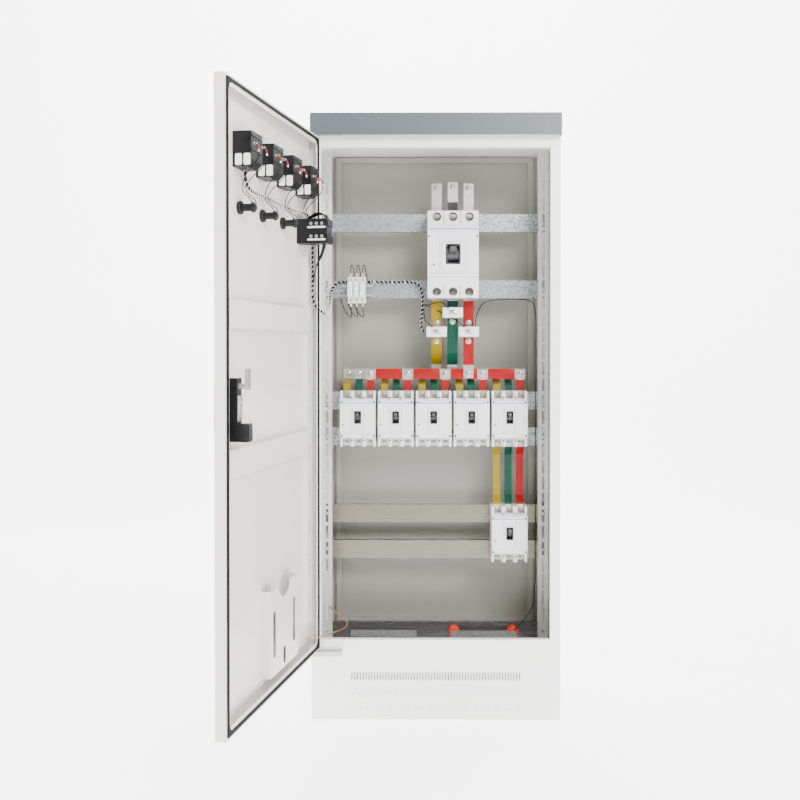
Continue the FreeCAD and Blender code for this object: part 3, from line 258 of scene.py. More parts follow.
# ---------------------------------------------------------------- materials
class Sock:
    """A material node's output that can be added, multiplied and passed on like a number."""

    def __init__(self, tree, socket):
        self.tree = tree
        self.socket = socket

    def node(self, kind, output=0, settings=None, **inputs):
        """One output of a new node of the kind in the same tree, its inputs given by name or by index_N."""
        made = self.tree.nodes.new("ShaderNode" + kind)
        for name, value in (settings or {}).items():
            setattr(made, name, value)
        for name, value in inputs.items():
            key = int(name[6:]) if name.startswith("index_") else name.replace("_", " ")
            if isinstance(value, Sock):
                self.tree.links.new(value.socket, made.inputs[key])
            else:
                made.inputs[key].default_value = value
        return Sock(self.tree, made.outputs[output])

    def math(self, operation, *others, clamp=False):
        """This value and the others through one arithmetic node."""
        values = {f"index_{index}": value for index, value in enumerate((self,) + others)}
        return self.node("Math", 0, {"operation": operation, "use_clamp": clamp}, **values)

    def __add__(self, other):
        return self.math("ADD", other)

    def __radd__(self, other):
        return self.math("ADD", other)

    def __mul__(self, other):
        return self.math("MULTIPLY", other)

    def __rmul__(self, other):
        return self.math("MULTIPLY", other)

    def __sub__(self, other):
        return self.math("SUBTRACT", other)

    def __rsub__(self, other):
        return self.node("Math", 0, {"operation": "SUBTRACT"}, index_0=other, index_1=self)

    def stretched(self, scale):
        """The pattern coordinates scaled along each axis."""
        return self.node("Mapping", 0, Vector=self, Scale=scale)

    def noise(self, scale, detail=3.0, roughness=0.55):
        """Layered cloud pattern of the given fineness."""
        return self.node("TexNoise", 0, Vector=self, Scale=scale, Detail=detail, Roughness=roughness)

    def ramp(self, low, high):
        """Zero below low and one above high, with an even slope between them."""
        return self.node("MapRange", 0, {"clamp": True}, Value=self, From_Min=low, From_Max=high)

    def colour(self, first, second):
        """Blend of two colours, or of a colour and a pattern, by this value."""
        return self.node("Mix", 2, {"data_type": "RGBA"}, index_0=self, index_6=first, index_7=second)


def rgb(red, green, blue):
    """A solid colour, from three parts between zero and one."""
    return (red, green, blue, 1.0)


def new_material(name, **constants):
    """A material with the given plain values, returned with its Object coordinates and its shader."""
    material = bpy.data.materials.new(name)
    material.use_nodes = True
    tree = material.node_tree
    shader = tree.nodes["Principled BSDF"]
    for key, value in constants.items():
        shader.inputs[key.replace("_", " ")].default_value = value
    place = tree.nodes.new("ShaderNodeTexCoord")
    return material, Sock(tree, place.outputs["Object"]), shader


def plug(source, shader, name):
    """Joins a worked-out value to one of the shader's inputs."""
    source.tree.links.new(source.socket, shader.inputs[name])


def bump(height, shader, strength, distance):
    """Fine relief on the surface from a height value."""
    plug(height.node("Bump", 0, Height=height, Strength=strength, Distance=distance), shader, "Normal")


def painted(name, colour, shade, grain=520.0, rough=0.34):
    """Powder coat: fine orange-peel relief, with faint clouding of colour and gloss and a little dust."""
    material, where, shader = new_material(name, Metallic=0.0, Coat_Weight=0.12, Coat_Roughness=0.25)
    cloud = where.noise(2.6, 4.0)
    dust = where.noise(38.0, 5.0, 0.7)
    plug((cloud * 0.7 + dust * 0.3).ramp(0.3, 0.72).colour(colour, shade), shader, "Base Color")
    plug(dust * 0.16 + (rough - 0.08), shader, "Roughness")
    bump(where.noise(grain, 2.0) + cloud * 0.6, shader, 0.09, 0.0006)
    return material


def galvanised(name, colour, shade, size=190.0, rough=0.3, plain_below=0.0):
    """Hot-dip zinc: crystal facets that differ in tone and gloss, with long faint rolling lines. Below the
    given height the facets fade into plain rolled zinc, which is a little browner."""
    material, where, shader = new_material(name, Metallic=0.85)
    warped = where.stretched((1.0, 1.0, 1.25))
    crystal = warped.node("TexVoronoi", "Color", Vector=warped, Scale=size, Randomness=1.0)
    tone = crystal.node("SeparateColor", 0, Color=crystal)
    lines = where.stretched((3.0, 40.0, 240.0)).noise(4.0, 3.0)
    height = where.node("SeparateXYZ", "Z", Vector=where)
    facets = tone * height.ramp(plain_below - 0.02, plain_below + 0.02)
    spangle = (facets * 0.75 + lines * 0.35).ramp(0.1, 0.95).colour(colour, shade)
    rolled = height.ramp(plain_below - 0.02, plain_below + 0.02).colour(rgb(0.150, 0.140, 0.108), spangle)
    # Below about 0.22 m the zinc is painted dark grey: painted shade and dark reflection on the lowest rail,
    # which is the same galvanised rail.
    lowest_rail_painted_shade = height.ramp(0.22, 0.30)
    plug(lowest_rail_painted_shade.colour(rgb(0.20, 0.20, 0.195), rolled), shader, "Base Color")
    plug(facets * 0.24 + lines * 0.1 + (rough - 0.08), shader, "Roughness")
    bump(facets * 0.4 + where.noise(900.0, 2.0) * 0.4, shader, 0.12, 0.0005)
    return material


def plain_zinc(name, colour, shade, rough=0.33):
    """Bright rolled or plated metal: fine lengthwise brush lines with slow clouding of tone."""
    material, where, shader = new_material(name, Metallic=0.9)
    lines = where.stretched((6.0, 60.0, 420.0)).noise(3.0, 4.0)
    cloud = where.noise(14.0, 3.0)
    plug((lines * 0.6 + cloud * 0.5).ramp(0.25, 0.85).colour(colour, shade), shader, "Base Color")
    plug(lines * 0.2 + (rough - 0.1) + cloud * 0.06, shader, "Roughness")
    bump(lines, shader, 0.08, 0.0004)
    return material


def tinned(name):
    """Tinned copper bar: lengthwise drawing lines, dull patches and a faint warm cast in places."""
    material, where, shader = new_material(name, Metallic=0.92)
    lines = where.stretched((420.0, 60.0, 9.0)).noise(3.0, 3.0)
    patch = where.noise(26.0, 4.0)
    plug((patch * 0.8 + lines * 0.3).ramp(0.3, 0.8).colour(rgb(0.52, 0.50, 0.47), rgb(0.36, 0.33, 0.29)),
         shader, "Base Color")
    plug(patch * 0.25 + lines * 0.1 + 0.16, shader, "Roughness")
    bump(lines + patch * 0.5, shader, 0.1, 0.0004)
    return material


def plastic(name, colour, shade, rough=0.42, grain=1400.0, relief=0.1, sheen=0.5):
    """Moulded plastic: spark-eroded grain, faint flow clouding and rubbed spots that shine a little more."""
    material, where, shader = new_material(name, Metallic=0.0, Specular_IOR_Level=sheen)
    flow = where.noise(22.0, 4.0)
    rubbed = where.noise(75.0, 3.0)
    plug(flow.ramp(0.3, 0.75).colour(colour, shade), shader, "Base Color")
    plug(rubbed * 0.14 + (rough - 0.07), shader, "Roughness")
    bump(where.noise(grain, 2.0), shader, relief, 0.0003)
    return material


def shrunk_sleeve(name, colour, shade):
    """Heat-shrunk tubing: low waves and creases across the bar, with a waxy gloss that varies along it."""
    material, where, shader = new_material(name, Metallic=0.0, Specular_IOR_Level=0.22)
    creases = where.stretched((30.0, 30.0, 150.0)).noise(2.0, 4.0)
    waves = where.noise(60.0, 2.0)
    plug((creases * 0.6 + waves * 0.4).ramp(0.3, 0.7).colour(colour, shade), shader, "Base Color")
    plug(waves * 0.2 + 0.28, shader, "Roughness")
    bump(creases + waves, shader, 0.25, 0.0008)
    return material


def rubber(name):
    """Foam rubber: open-pored matt black with a greyish bloom."""
    material, where, shader = new_material(name, Metallic=0.0, Specular_IOR_Level=0.12)
    pores = where.node("TexVoronoi", "Distance", Vector=where, Scale=900.0)
    bloom = where.noise(30.0, 4.0)
    plug(bloom.ramp(0.35, 0.8).colour(rgb(0.004, 0.004, 0.005), rgb(0.014, 0.014, 0.015)), shader,
         "Base Color")
    plug(bloom * 0.15 + 0.68, shader, "Roughness")
    bump(pores, shader, 0.3, 0.0006)
    return material


def braided(name):
    """Bare copper strands under a clear sheath: fine slanting strands in two tones under a clear coat."""
    material, where, shader = new_material(name, Metallic=0.75, Coat_Weight=0.6, Coat_Roughness=0.15)
    strands = where.stretched((900.0, 900.0, 300.0)).noise(1.2, 2.0)
    plug(strands.ramp(0.35, 0.65).colour(rgb(0.80, 0.36, 0.16), rgb(0.42, 0.15, 0.06)), shader, "Base Color")
    plug(strands * 0.2 + 0.25, shader, "Roughness")
    bump(strands, shader, 0.4, 0.0006)
    return material


def lens(name, colour, deep):
    """Ribbed signal lens: glossy dyed plastic whose rings of relief and depth of colour repeat across it."""
    material, where, shader = new_material(name, Metallic=0.0, Coat_Weight=0.5, Coat_Roughness=0.05)
    rings = where.node("TexWave", "Fac", {"bands_direction": "Z"}, Vector=where, Scale=160.0, Distortion=0.4)
    plug(rings.colour(colour, deep), shader, "Base Color")
    plug(rings * 0.1 + 0.12, shader, "Roughness")
    bump(rings, shader, 0.3, 0.0006)
    return material


# The door's colour is the cabinet's light paint made darker: painted shade for the inner face of the open
# door.
SHADED_DOOR_PAINT = painted("door_powder_coat_with_painted_shade", rgb(0.70, 0.685, 0.64), rgb(0.655, 0.64, 0.595))
CABINET_PAINT = painted("cabinet_powder_coat", rgb(0.88, 0.88, 0.86), rgb(0.83, 0.83, 0.81))
# The rear wall and rear frame take the same light paint made much darker: painted shade of the dim inside of
# the cabinet.
SHADED_REAR_PAINT = painted("rear_wall_powder_coat_with_painted_shade", rgb(0.325, 0.315, 0.272), rgb(0.285, 0.275, 0.238))
FASCIA_PAINT = painted("fascia_powder_coat", rgb(0.058, 0.076, 0.084), rgb(0.049, 0.064, 0.072), 700.0, 0.42)
SPANGLED = galvanised("spangled_zinc", rgb(0.46, 0.47, 0.48), rgb(0.17, 0.18, 0.20), plain_below=0.66)
# The slotted uprights are white-painted; their grey here is painted shade of the cabinet's inside.
SHADED_UPRIGHT_PAINT = painted("upright_powder_coat_with_painted_shade", rgb(0.56, 0.56, 0.545), rgb(0.48, 0.48, 0.465), 640.0, 0.4)
BRIGHT_ZINC = plain_zinc("bright_zinc", rgb(0.56, 0.56, 0.55), rgb(0.34, 0.35, 0.36))
GLAND_ZINC = plain_zinc("gland_zinc", rgb(0.34, 0.34, 0.34), rgb(0.20, 0.20, 0.21), 0.45)
SCREW_ZINC = plain_zinc("screw_zinc", rgb(0.60, 0.59, 0.56), rgb(0.33, 0.32, 0.31), 0.26)
TINNED = tinned("tinned_copper")
WHITE_CASE = plastic("breaker_white_case", rgb(0.78, 0.785, 0.78), rgb(0.73, 0.735, 0.73))
BASE_CASE = plastic("breaker_base_case", rgb(0.70, 0.705, 0.70), rgb(0.63, 0.635, 0.63), 0.5)
FUSE_CASE = plastic("fuse_white_case", rgb(0.80, 0.81, 0.81), rgb(0.72, 0.73, 0.74), 0.36)
BLACK_CASE = plastic("black_case", rgb(0.004, 0.004, 0.005), rgb(0.010, 0.010, 0.012), 0.36, 900.0, 0.16,
                     0.22)
GREY_LEVER = plastic("toggle_grey", rgb(0.075, 0.075, 0.08), rgb(0.045, 0.045, 0.05), 0.36, sheen=0.3)
# Grey of the real seam lines and of the painted shadow outlines round the raised frames.
SEAM_AND_SHADOW_GREY = plastic("seam_and_shadow_grey", rgb(0.26, 0.27, 0.28), rgb(0.20, 0.21, 0.22), 0.5, sheen=0.2)
# Near-black painted shade for the screw holes, the handle windows and the terminal wells.
RECESS_SHADE_BLACK = plastic("recess_painted_shade", rgb(0.010, 0.010, 0.012), rgb(0.022, 0.022, 0.025), 0.5, sheen=0.15)
TRIP_ORANGE = plastic("trip_orange", rgb(0.95, 0.16, 0.0), rgb(0.86, 0.12, 0.0), 0.3, sheen=0.2)
LINE_BLUE = plastic("line_blue", rgb(0.03, 0.18, 0.72), rgb(0.02, 0.14, 0.62), 0.35, sheen=0.2)
STANDOFF_RED = plastic("standoff_red", rgb(0.72, 0.035, 0.005), rgb(0.56, 0.025, 0.004), 0.38, 500.0, 0.2,
                       0.25)
YELLOW_SLEEVE = shrunk_sleeve("yellow_sleeve", rgb(0.30, 0.205, 0.0), rgb(0.21, 0.145, 0.0))
GREEN_SLEEVE = shrunk_sleeve("green_sleeve", rgb(0.0, 0.055, 0.030), rgb(0.0, 0.038, 0.021))
RED_SLEEVE = shrunk_sleeve("red_sleeve", rgb(0.31, 0.001, 0.001), rgb(0.21, 0.001, 0.001))
SEAL = rubber("seal_foam")
BLACK_LEAD = plastic("black_lead", rgb(0.004, 0.004, 0.005), rgb(0.010, 0.010, 0.010), 0.4, 700.0, sheen=0.2)
WHITE_WRAP = plastic("white_wrap", rgb(0.74, 0.74, 0.72), rgb(0.62, 0.62, 0.60), 0.38, 600.0)
DIAL_WHITE = plastic("dial_white", rgb(0.83, 0.83, 0.82), rgb(0.78, 0.78, 0.77), 0.5, 2000.0, 0.03)
BRAID = braided("bond_braid")
LAMP_LENSES = (
    lens("lens_red", rgb(0.60, 0.02, 0.02), rgb(0.30, 0.01, 0.01)),
    lens("lens_green", rgb(0.02, 0.42, 0.10), rgb(0.01, 0.20, 0.05)),
    lens("lens_yellow", rgb(0.80, 0.55, 0.03), rgb(0.50, 0.30, 0.02)),
)

# The door, rear wall, rear frame and uprights below take paints darkened with painted shade.
FINISHES = {
    "left_side_panel": CABINET_PAINT, "right_side_panel": CABINET_PAINT, "rear_panel": SHADED_REAR_PAINT,
    "roof_panel": CABINET_PAINT, "front_frame": CABINET_PAINT, "plinth": CABINET_PAINT,
    "header_fascia": FASCIA_PAINT,
    "gland_plate": GLAND_ZINC, "rear_frame": SHADED_REAR_PAINT, "slotted_uprights": SHADED_UPRIGHT_PAINT,
    "cross_rails": SPANGLED,
    "hinge_brackets": BRIGHT_ZINC, "door_leaf": SHADED_DOOR_PAINT, "door_stiffeners": SHADED_DOOR_PAINT,
    "document_pocket": SHADED_DOOR_PAINT,
    "door_seal": SEAL, "meter_cases": BLACK_CASE, "pilot_lamps": BLACK_CASE, "selector_body": BLACK_CASE,
    "selector_knob": BLACK_CASE, "lock_body": BLACK_CASE, "lock_handle": BLACK_CASE,
    "lock_latch": BRIGHT_ZINC,
    "main_breaker_base": BASE_CASE, "branch_breaker_bases": BASE_CASE, "main_breaker_cover": WHITE_CASE,
    "branch_breaker_covers": WHITE_CASE, "fuse_bases": FUSE_CASE, "din_rail": BRIGHT_ZINC,
    "distribution_bars": TINNED,
    "link_bars": TINNED, "sleeves_yellow": YELLOW_SLEEVE, "sleeves_green": GREEN_SLEEVE,
    "sleeves_red": RED_SLEEVE,
    "current_transformers": FUSE_CASE, "terminal_bars": BRIGHT_ZINC,
}


def finish_nodes():
    """Gives every carried-over sub-part its finish."""
    for name, node in NODES.items():
        material = FINISHES.get(name)
        if name.endswith("_toggle"):
            material = GREY_LEVER
        elif name.endswith("_trip_button"):
            material = TRIP_ORANGE
        elif name.startswith("fuse_carrier"):
            material = FUSE_CASE
        if material is not None:
            node.data.materials.clear()
            node.data.materials.append(material)


# ---------------------------------------------------------------- screws and insulators
def breaker_places():
    """Middle of every branch breaker and of the feeder, as (x, z)."""
    return [(x, BRANCH_Z) for x in BRANCH_X] + [(BRANCH_X[4], FEEDER_Z)]


def make_screws():
    """Rail screws, bar bolts with washers, and terminal screws."""
    bolts = []
    washers = []
    pans = []
    for level in RAIL_LEVELS:
        for side in (-1, 1):
            pans.append((side * RAIL_SCREW_X, 60.0, level))
    for phase in range(3):
        face = BAR_FRONT + BAR_SPACING * (2 - phase) - BAR_THICK
        for x in BRANCH_X:
            bolts.append((x + (phase - 1) * BRANCH_POLE, face, BAR_LEVEL))
        pole = MAIN_X + (phase - 1) * MAIN_POLE
        bolts.append((pole, face, BAR_LEVEL))
        bolts.append((pole, BAR_FRONT - BAR_THICK - (22.0 if phase == 1 else 0.0), 1527.0))
        for end in (-1, 1):
            washers.append((pole, BAR_FRONT - BAR_THICK, MAIN_Z + end * 110.5))
            for index, (x, z) in enumerate(breaker_places()):
                linked = end == 1 or index == 4
                pans.append((x + (phase - 1) * BRANCH_POLE, BAR_FRONT - (BAR_THICK if linked else 0.0),
                             z + end * 72.5))
    for phase, level in ((0, 1122.0), (0, 1068.0), (1, 1127.0), (2, 1122.0), (2, 1068.0)):
        bolts.append((MAIN_X + (phase - 1) * MAIN_POLE, BAR_FRONT - BAR_THICK - 0.9, level))
    small = []
    for index in range(-3, 4):
        small.append((EARTH_X + 30 * index, RAIL_FACE - 8 - BAR_THICK, EARTH_Z))
        small.append((NEUTRAL_X + 30 * index, RAIL_FACE - 32 - BAR_THICK, NEUTRAL_Z))
    washer = turned([(8.6, -1.4), (9.0, -1.1), (9.0, 0)], 24)
    wide_washer = turned([(9.6, -1.8), (10.0, -1.5), (10.0, 0)], 24)
    pan = turned([(1.4, -1.9), (1.7, -4.0), (3.2, -3.8), (4.6, -2.9), (5.1, -1.2), (5.2, 0)], 18)
    slotted = turned([(0.9, -1.6), (1.2, -3.8), (2.8, -3.6), (3.8, -2.6), (4.1, 0)], 16)
    head = turned([(1.6, -3.2), (2.0, -6.2), (4.2, -5.8), (5.8, -4.4), (6.4, -1.4), (6.5, 0)], 20)
    big_head = hexagonal(13.5, 6.4)
    lifted = [(x, y - 1.4, z) for x, y, z in bolts]
    lifted_wide = [(x, y - 1.8, z) for x, y, z in washers]
    parts = [repeated(washer, bolts), repeated(head, lifted), repeated(wide_washer, washers),
             repeated(big_head, lifted_wide)]
    parts += [repeated(pan, pans), repeated(slotted, small)]
    screws = add_piece("screw_heads", joined(parts), "cabinet", SCREW_ZINC)
    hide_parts("fasteners")


def make_standoffs():
    """Waisted round insulators with a rib at each end, and the plain spacers between the bars."""
    standoff = turned([(9.0, -32.0), (15.5, -31.6), (17.0, -30.0), (17.0, -24.0), (15.2, -21.5),
                       (14.6, -16.0), (15.2, -10.5),
                       (17.0, -8.0), (17.0, -2.0), (15.5, 0)], 36)
    spacer = turned([(9.0, -28.0), (12.2, -27.6), (13.0, -26.4), (11.6, -20.0), (11.6, -8.0), (13.0, -1.6),
                     (12.2, 0)], 28)
    small = turned([(4.5, -8.0), (5.6, -7.6), (6.0, -7.0), (6.0, 0)], 20)
    ends = [(NEUTRAL_X + side * 89, RAIL_FACE, NEUTRAL_Z + 2) for side in (-1, 1)]
    gaps = [(x, BAR_FRONT + BAR_THICK + BAR_SPACING * gap + 28, BAR_LEVEL) for x in (-178.0, 161.0)
            for gap in (0, 1)]
    feet = [(EARTH_X + side * 89, RAIL_FACE, EARTH_Z) for side in (-1, 1)]
    shape = joined([repeated(standoff, ends), repeated(spacer, gaps), repeated(small, feet)])
    insulators = add_piece("round_insulators", shape, "cabinet", STANDOFF_RED)
    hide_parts("standoff_insulators")


# ---------------------------------------------------------------- breaker detail
def soft_plate(width, height, corner, thick):
    """Flat moulded plate standing out from its back by its thickness, its front edge rounded over."""
    return moulded(width, height, corner, [(thick * 0.7, -thick), (thick * 0.2, -thick * 0.8),
                                           (0, -thick * 0.3), (0, 0.4)])


def make_breaker_detail():
    """Lines and seam lines moulded into the breaker fronts; painted shadow outlines round the raised frames;
    dark painted shade in the recesses and screw holes.
    """
    lines = [repeated(soft_plate(146, 2.6, 1.0, 0.7), [(MAIN_X, MAIN_FRONT, MAIN_Z + 75)])]
    line = soft_plate(101, 2.2, 0.9, 0.6)
    lines.append(repeated(line, [(x, BRANCH_FRONT, z + 48) for x, z in breaker_places()]))
    add_piece("rating_lines", joined(lines), "cabinet", LINE_BLUE)

    walls = []
    for x, z in breaker_places():
        for side in (-1, 1):
            for end in (-1, 1):
                walls.append((x + side * BRANCH_POLE / 2, BRANCH_FRONT + 15, z + end * 69))
    rib = moulded(3.4, 26, 1.2, [(0.8, -13.0), (0, -12.0), (0, 0.5)])
    main_rib = moulded(5.0, 38, 1.6, [(1.0, -8.0), (0, -6.8), (0, 0.5)])
    main_walls = [(MAIN_X + side * MAIN_POLE / 2, MAIN_FRONT + 9, MAIN_Z + end * 108) for side in (-1, 1)
                  for end in (-1, 1)]
    collar = framed(30, 30, 14.9, [(0, 0.5), (0, -1.0), (0.8, -1.8), (1.9, -1.6), (2.0, 0.5)], arc=8)
    wells = [(MAIN_X + pole * MAIN_POLE, MAIN_FRONT + 9, MAIN_Z + end * 110.5) for pole in (-1, 0, 1)
             for end in (-1, 1)]
    shapes = [repeated(rib, walls), repeated(main_rib, main_walls), repeated(collar, wells)]
    add_piece("pole_barriers", joined(shapes), "cabinet", WHITE_CASE)

    # Seam lines, which are real joints, and outlines round the raised frames, which are painted shadow.
    seam_and_shadow_lines = []
    seam_and_shadow_lines.append(repeated(soft_plate(148, 1.1, 0.5, 0.35), [(MAIN_X, MAIN_FRONT, MAIN_Z - 56),
                                                            (MAIN_X, MAIN_FRONT, MAIN_Z + 70)]))
    seam_and_shadow_lines.append(repeated(soft_plate(103, 0.8, 0.35, 0.3),
                          [(x, BRANCH_FRONT, z - 44) for x, z in breaker_places()]))
    upright = soft_plate(0.8, 86, 0.35, 0.3)
    seam_and_shadow_lines.append(repeated(upright, [(x + side * 17.5, BRANCH_FRONT, z + 2) for x, z in breaker_places()
                                    for side in (-1, 1)]))
    tall = soft_plate(0.9, 118, 0.4, 0.35)
    seam_and_shadow_lines.append(repeated(tall, [(MAIN_X + side * 40, MAIN_FRONT, MAIN_Z + 6) for side in (-1, 1)]))
    # Dark outlines round the raised handle frames: painted shadow of the frames.
    bezel_shadow_line = framed(28, 63, 3.4, [(0, 0.2), (0, -0.5), (0.9, -0.5), (0.9, 0.2)])
    seam_and_shadow_lines.append(repeated(bezel_shadow_line, [(x, BRANCH_FRONT, z - 5) for x, z in breaker_places()]))
    main_bezel_shadow_line = framed(70.5, 90.5, 3.6, [(0, 0.2), (0, -0.5), (1.0, -0.5), (1.0, 0.2)])
    seam_and_shadow_lines.append(repeated(main_bezel_shadow_line, [(MAIN_X, MAIN_FRONT, MAIN_Z - 7.7)]))
    add_piece("cover_seam_and_shadow_lines", joined(seam_and_shadow_lines), "cabinet", SEAM_AND_SHADOW_GREY)

    # Screw holes drawn as dark dots on the fronts: painted shade of the holes.
    small_dot = turned([(2.6, -0.5), (3.0, -0.2), (3.0, 0.4)], 14)
    dots = [(x + side * 48, BRANCH_FRONT, z + end * 50) for x, z in breaker_places() for side in (-1, 1)
            for end in (-1, 1)]
    dots += [(MAIN_X + side * 71, MAIN_FRONT, MAIN_Z + 52) for side in (-1, 1)]
    hole = turned([(4.6, -0.5), (5.0, -0.2), (5.0, 0.4)], 4)
    holes = [(MAIN_X + side * 24, MAIN_FRONT + 9, MAIN_Z + end * 95) for side in (-1, 1) for end in (-1, 1)]
    waist = turned([(2.2, -0.5), (2.5, -0.2), (2.5, 0.4)], 12)
    between = [(x + side * 17.5, BRANCH_FRONT + 2, z + end * 64) for x, z in breaker_places()
               for side in (-1, 1) for end in (-1, 1)]
    shape = joined([repeated(small_dot, dots), repeated(hole, holes), repeated(waist, between)])
    add_piece("cover_screw_hole_shade", shape, "cabinet", RECESS_SHADE_BLACK)

    # Dark linings in the handle windows and dark rings round them: painted shade in the recesses.
    shade_liner = framed(35.9, 51.9, 2.0, [(0, 0), (0, 48), (0.8, 48), (0.8, 0)])
    narrow = framed(15.9, 31.9, 1.2, [(0, 0), (0, 30), (0.5, 30), (0.5, 0)])
    places = [(x, BRANCH_FRONT - 1.9, z + 5) for x, z in breaker_places()]
    shapes = [repeated(shade_liner, [(MAIN_X, MAIN_FRONT - 1.9, MAIN_Z)]), repeated(narrow, places)]
    surround = framed(44, 60, 3.0, [(0, 0.2), (0.3, -0.5), (3.6, -0.5), (4.0, 0.2)])
    small_surround = framed(21.5, 37.5, 2.0, [(0, 0.2), (0.2, -0.5), (2.5, -0.5), (2.75, 0.2)])
    shapes.append(repeated(surround, [(MAIN_X, MAIN_FRONT - 2.0, MAIN_Z)]))
    shapes.append(repeated(small_surround, [(x, BRANCH_FRONT - 2.0, z + 5) for x, z in breaker_places()]))
    add_piece("window_recess_shade", joined(shapes), "cabinet", RECESS_SHADE_BLACK)
    # Dark linings in the terminal wells: painted shade.
    cups = framed(25.8, 25.8, 12.6, [(0, 0.2), (0, 30), (0.5, 30), (0.5, 0.2)], arc=8)
    add_piece("terminal_well_shade", repeated(cups, wells), "cabinet", RECESS_SHADE_BLACK)


def make_bar_sleeves():
    """Sleeves on the front bar between its joints: a rounded tube with turned-in ends."""
    starts = [x + BRANCH_POLE + 16 for x in BRANCH_X[:4]]
    length = 112.75 - 32
    points, faces = moulded(length, 31.8, 1.6, [(1.2, -0.9), (0, -0.5), (0, 4.5), (1.2, 4.9)])
    shape = repeated((points, faces), [(start + length / 2, BAR_FRONT, BAR_LEVEL) for start in starts[1:]
                                       + starts[:1]])
    add_piece("bar_sleeves", shape, "cabinet", RED_SLEEVE)


def make_transformer_clamps():
    """Zinc strap with a bolt across the front of each current transformer."""
    places = [(MAIN_X - 48, 1095.5), (MAIN_X, 1153.0), (MAIN_X + 48, 1095.5)]
    strap = moulded(22, 15, 1.0, [(0.6, -3.4), (0, -3.0), (0, 0.3)])
    head = hexagonal(8.0, 4.5)
    shapes = [repeated(strap, [(x, -4.0, z) for x, z in places]),
              repeated(head, [(x, -7.2, z) for x, z in places])]
    add_piece("transformer_clamps", joined(shapes), "cabinet", BRIGHT_ZINC)
    rim = moulded(58, 28, 2.5, [(1.6, -1.0), (0.4, -0.6), (0, 0.4)])
    add_piece("transformer_fronts", repeated(rim, [(x, -4.0, z) for x, z in places]), "cabinet", FUSE_CASE)


def make_fuse_detail():
    """Raised grip and small lamp on each fuse carrier, and the screws of its base."""
    grip = moulded(9, 17, 2.0, [(2.2, -4.6), (0.8, -4.2), (0, -2.8), (0, 0.3)])
    lamp = turned([(1.2, -1.2), (1.8, -0.6), (1.9, 0.3)], 12)
    for index in (-1, 0, 1):
        x = -235.5 + 18 * index
        shape = joined([repeated(grip, [(x, -13.5, 1226.0)]), repeated(lamp, [(x, -13.5, 1208.0)])])
        add_piece(f"fuse_grip_{index + 2}", shape, f"fuse_carrier_{index + 2}", FUSE_CASE)
    screw = turned([(1.2, -0.4), (1.4, -1.2), (3.4, -1.0), (3.8, 0.3)], 16)
    places = [(-235.5 + 18 * index, 16.5, 1221.0 + end * 31) for index in (-1, 0, 1) for end in (-1, 1)]
    add_piece("fuse_screws", repeated(screw, places), "cabinet", SCREW_ZINC)


# ---------------------------------------------------------------- door devices
def make_meter_fronts():
    """Meter dials: marks evenly spaced along a quarter circle, a needle and its hub."""
    faces_shape = moulded(84, 84, 3.0, [(0.6, -0.6), (0, 0), (0, 0.4)])
    places = [(x, DOOR_FACE - 10, METER_Z) for x in METER_X]
    add_piece("meter_dials", repeated(faces_shape, places), "door", DIAL_WHITE, on_door=True)
    marks = []
    for x in METER_X:
        for step in range(11):
            angle = math.radians(180 - step * 9)
            reach = 52 if step % 5 else 50
            marks.append((x + 30 + reach * math.cos(angle), DOOR_FACE - 10.5, METER_Z - 28
                          + reach * math.sin(angle)))
    tick = soft_plate(1.3, 1.3, 0.5, 0.3)
    needle = [(METER_X[index] + 30 - 20, DOOR_FACE - 10.5, METER_Z - 28) for index in range(4)]
    shape = joined([repeated(tick, marks), repeated(soft_plate(44, 1.0, 0.4, 0.5), needle),
                    repeated(turned([(5.0, -2.0), (6.0, -1.2), (6.0, 0.3)], 20),
                             [(x + 30, DOOR_FACE - 10.5, METER_Z - 28) for x in METER_X])])
    add_piece("meter_scales", shape, "door", BLACK_CASE, on_door=True)


def make_lamp_fronts():
    """Domed lamp lenses in their metal rings."""
    dome = turned([(0.3, -9.0), (5.0, -8.2), (8.6, -5.8), (10.4, -2.2), (10.8, 0.4)], 28)
    ring = turned([(10.9, -2.2), (13.0, -2.8), (14.3, -1.6), (14.6, 0.4)], 32)
    for index, lens_material in enumerate(LAMP_LENSES):
        place = [(METER_X[index + 1], DOOR_FACE - 12, LAMP_Z)]
        add_piece(f"lamp_lens_{index + 1}", repeated(dome, place), "door", lens_material,
                  on_door=True)
    places = [(x, DOOR_FACE - 12, LAMP_Z) for x in METER_X[1:]]
    add_piece("lamp_rings", repeated(ring, places), "door", BRIGHT_ZINC, on_door=True)


def make_lamp_backs():
    """Ribbed terminal heads behind the lamps, and the nut that holds each one."""
    back = SKIN_BACK + 40
    head = turned([(9.4, -9.0), (11.6, -8.0), (11.6, -2.0), (9.0, 0), (6.5, 2.2)], 30, 10, 0.045)
    nut = turned([(9.0, 0), (14.6, 0.2), (15.2, 3.0), (15.2, 6.5), (14.2, 8.4), (9.0, 8.6)], 36, 12, 0.03)
    shape = joined([repeated(head, [(x, back, LAMP_Z) for x in METER_X[1:]]),
                    repeated(nut, [(x, SKIN_BACK, LAMP_Z) for x in METER_X[1:]])])
    add_piece("lamp_terminals", shape, "door", BLACK_CASE, on_door=True)


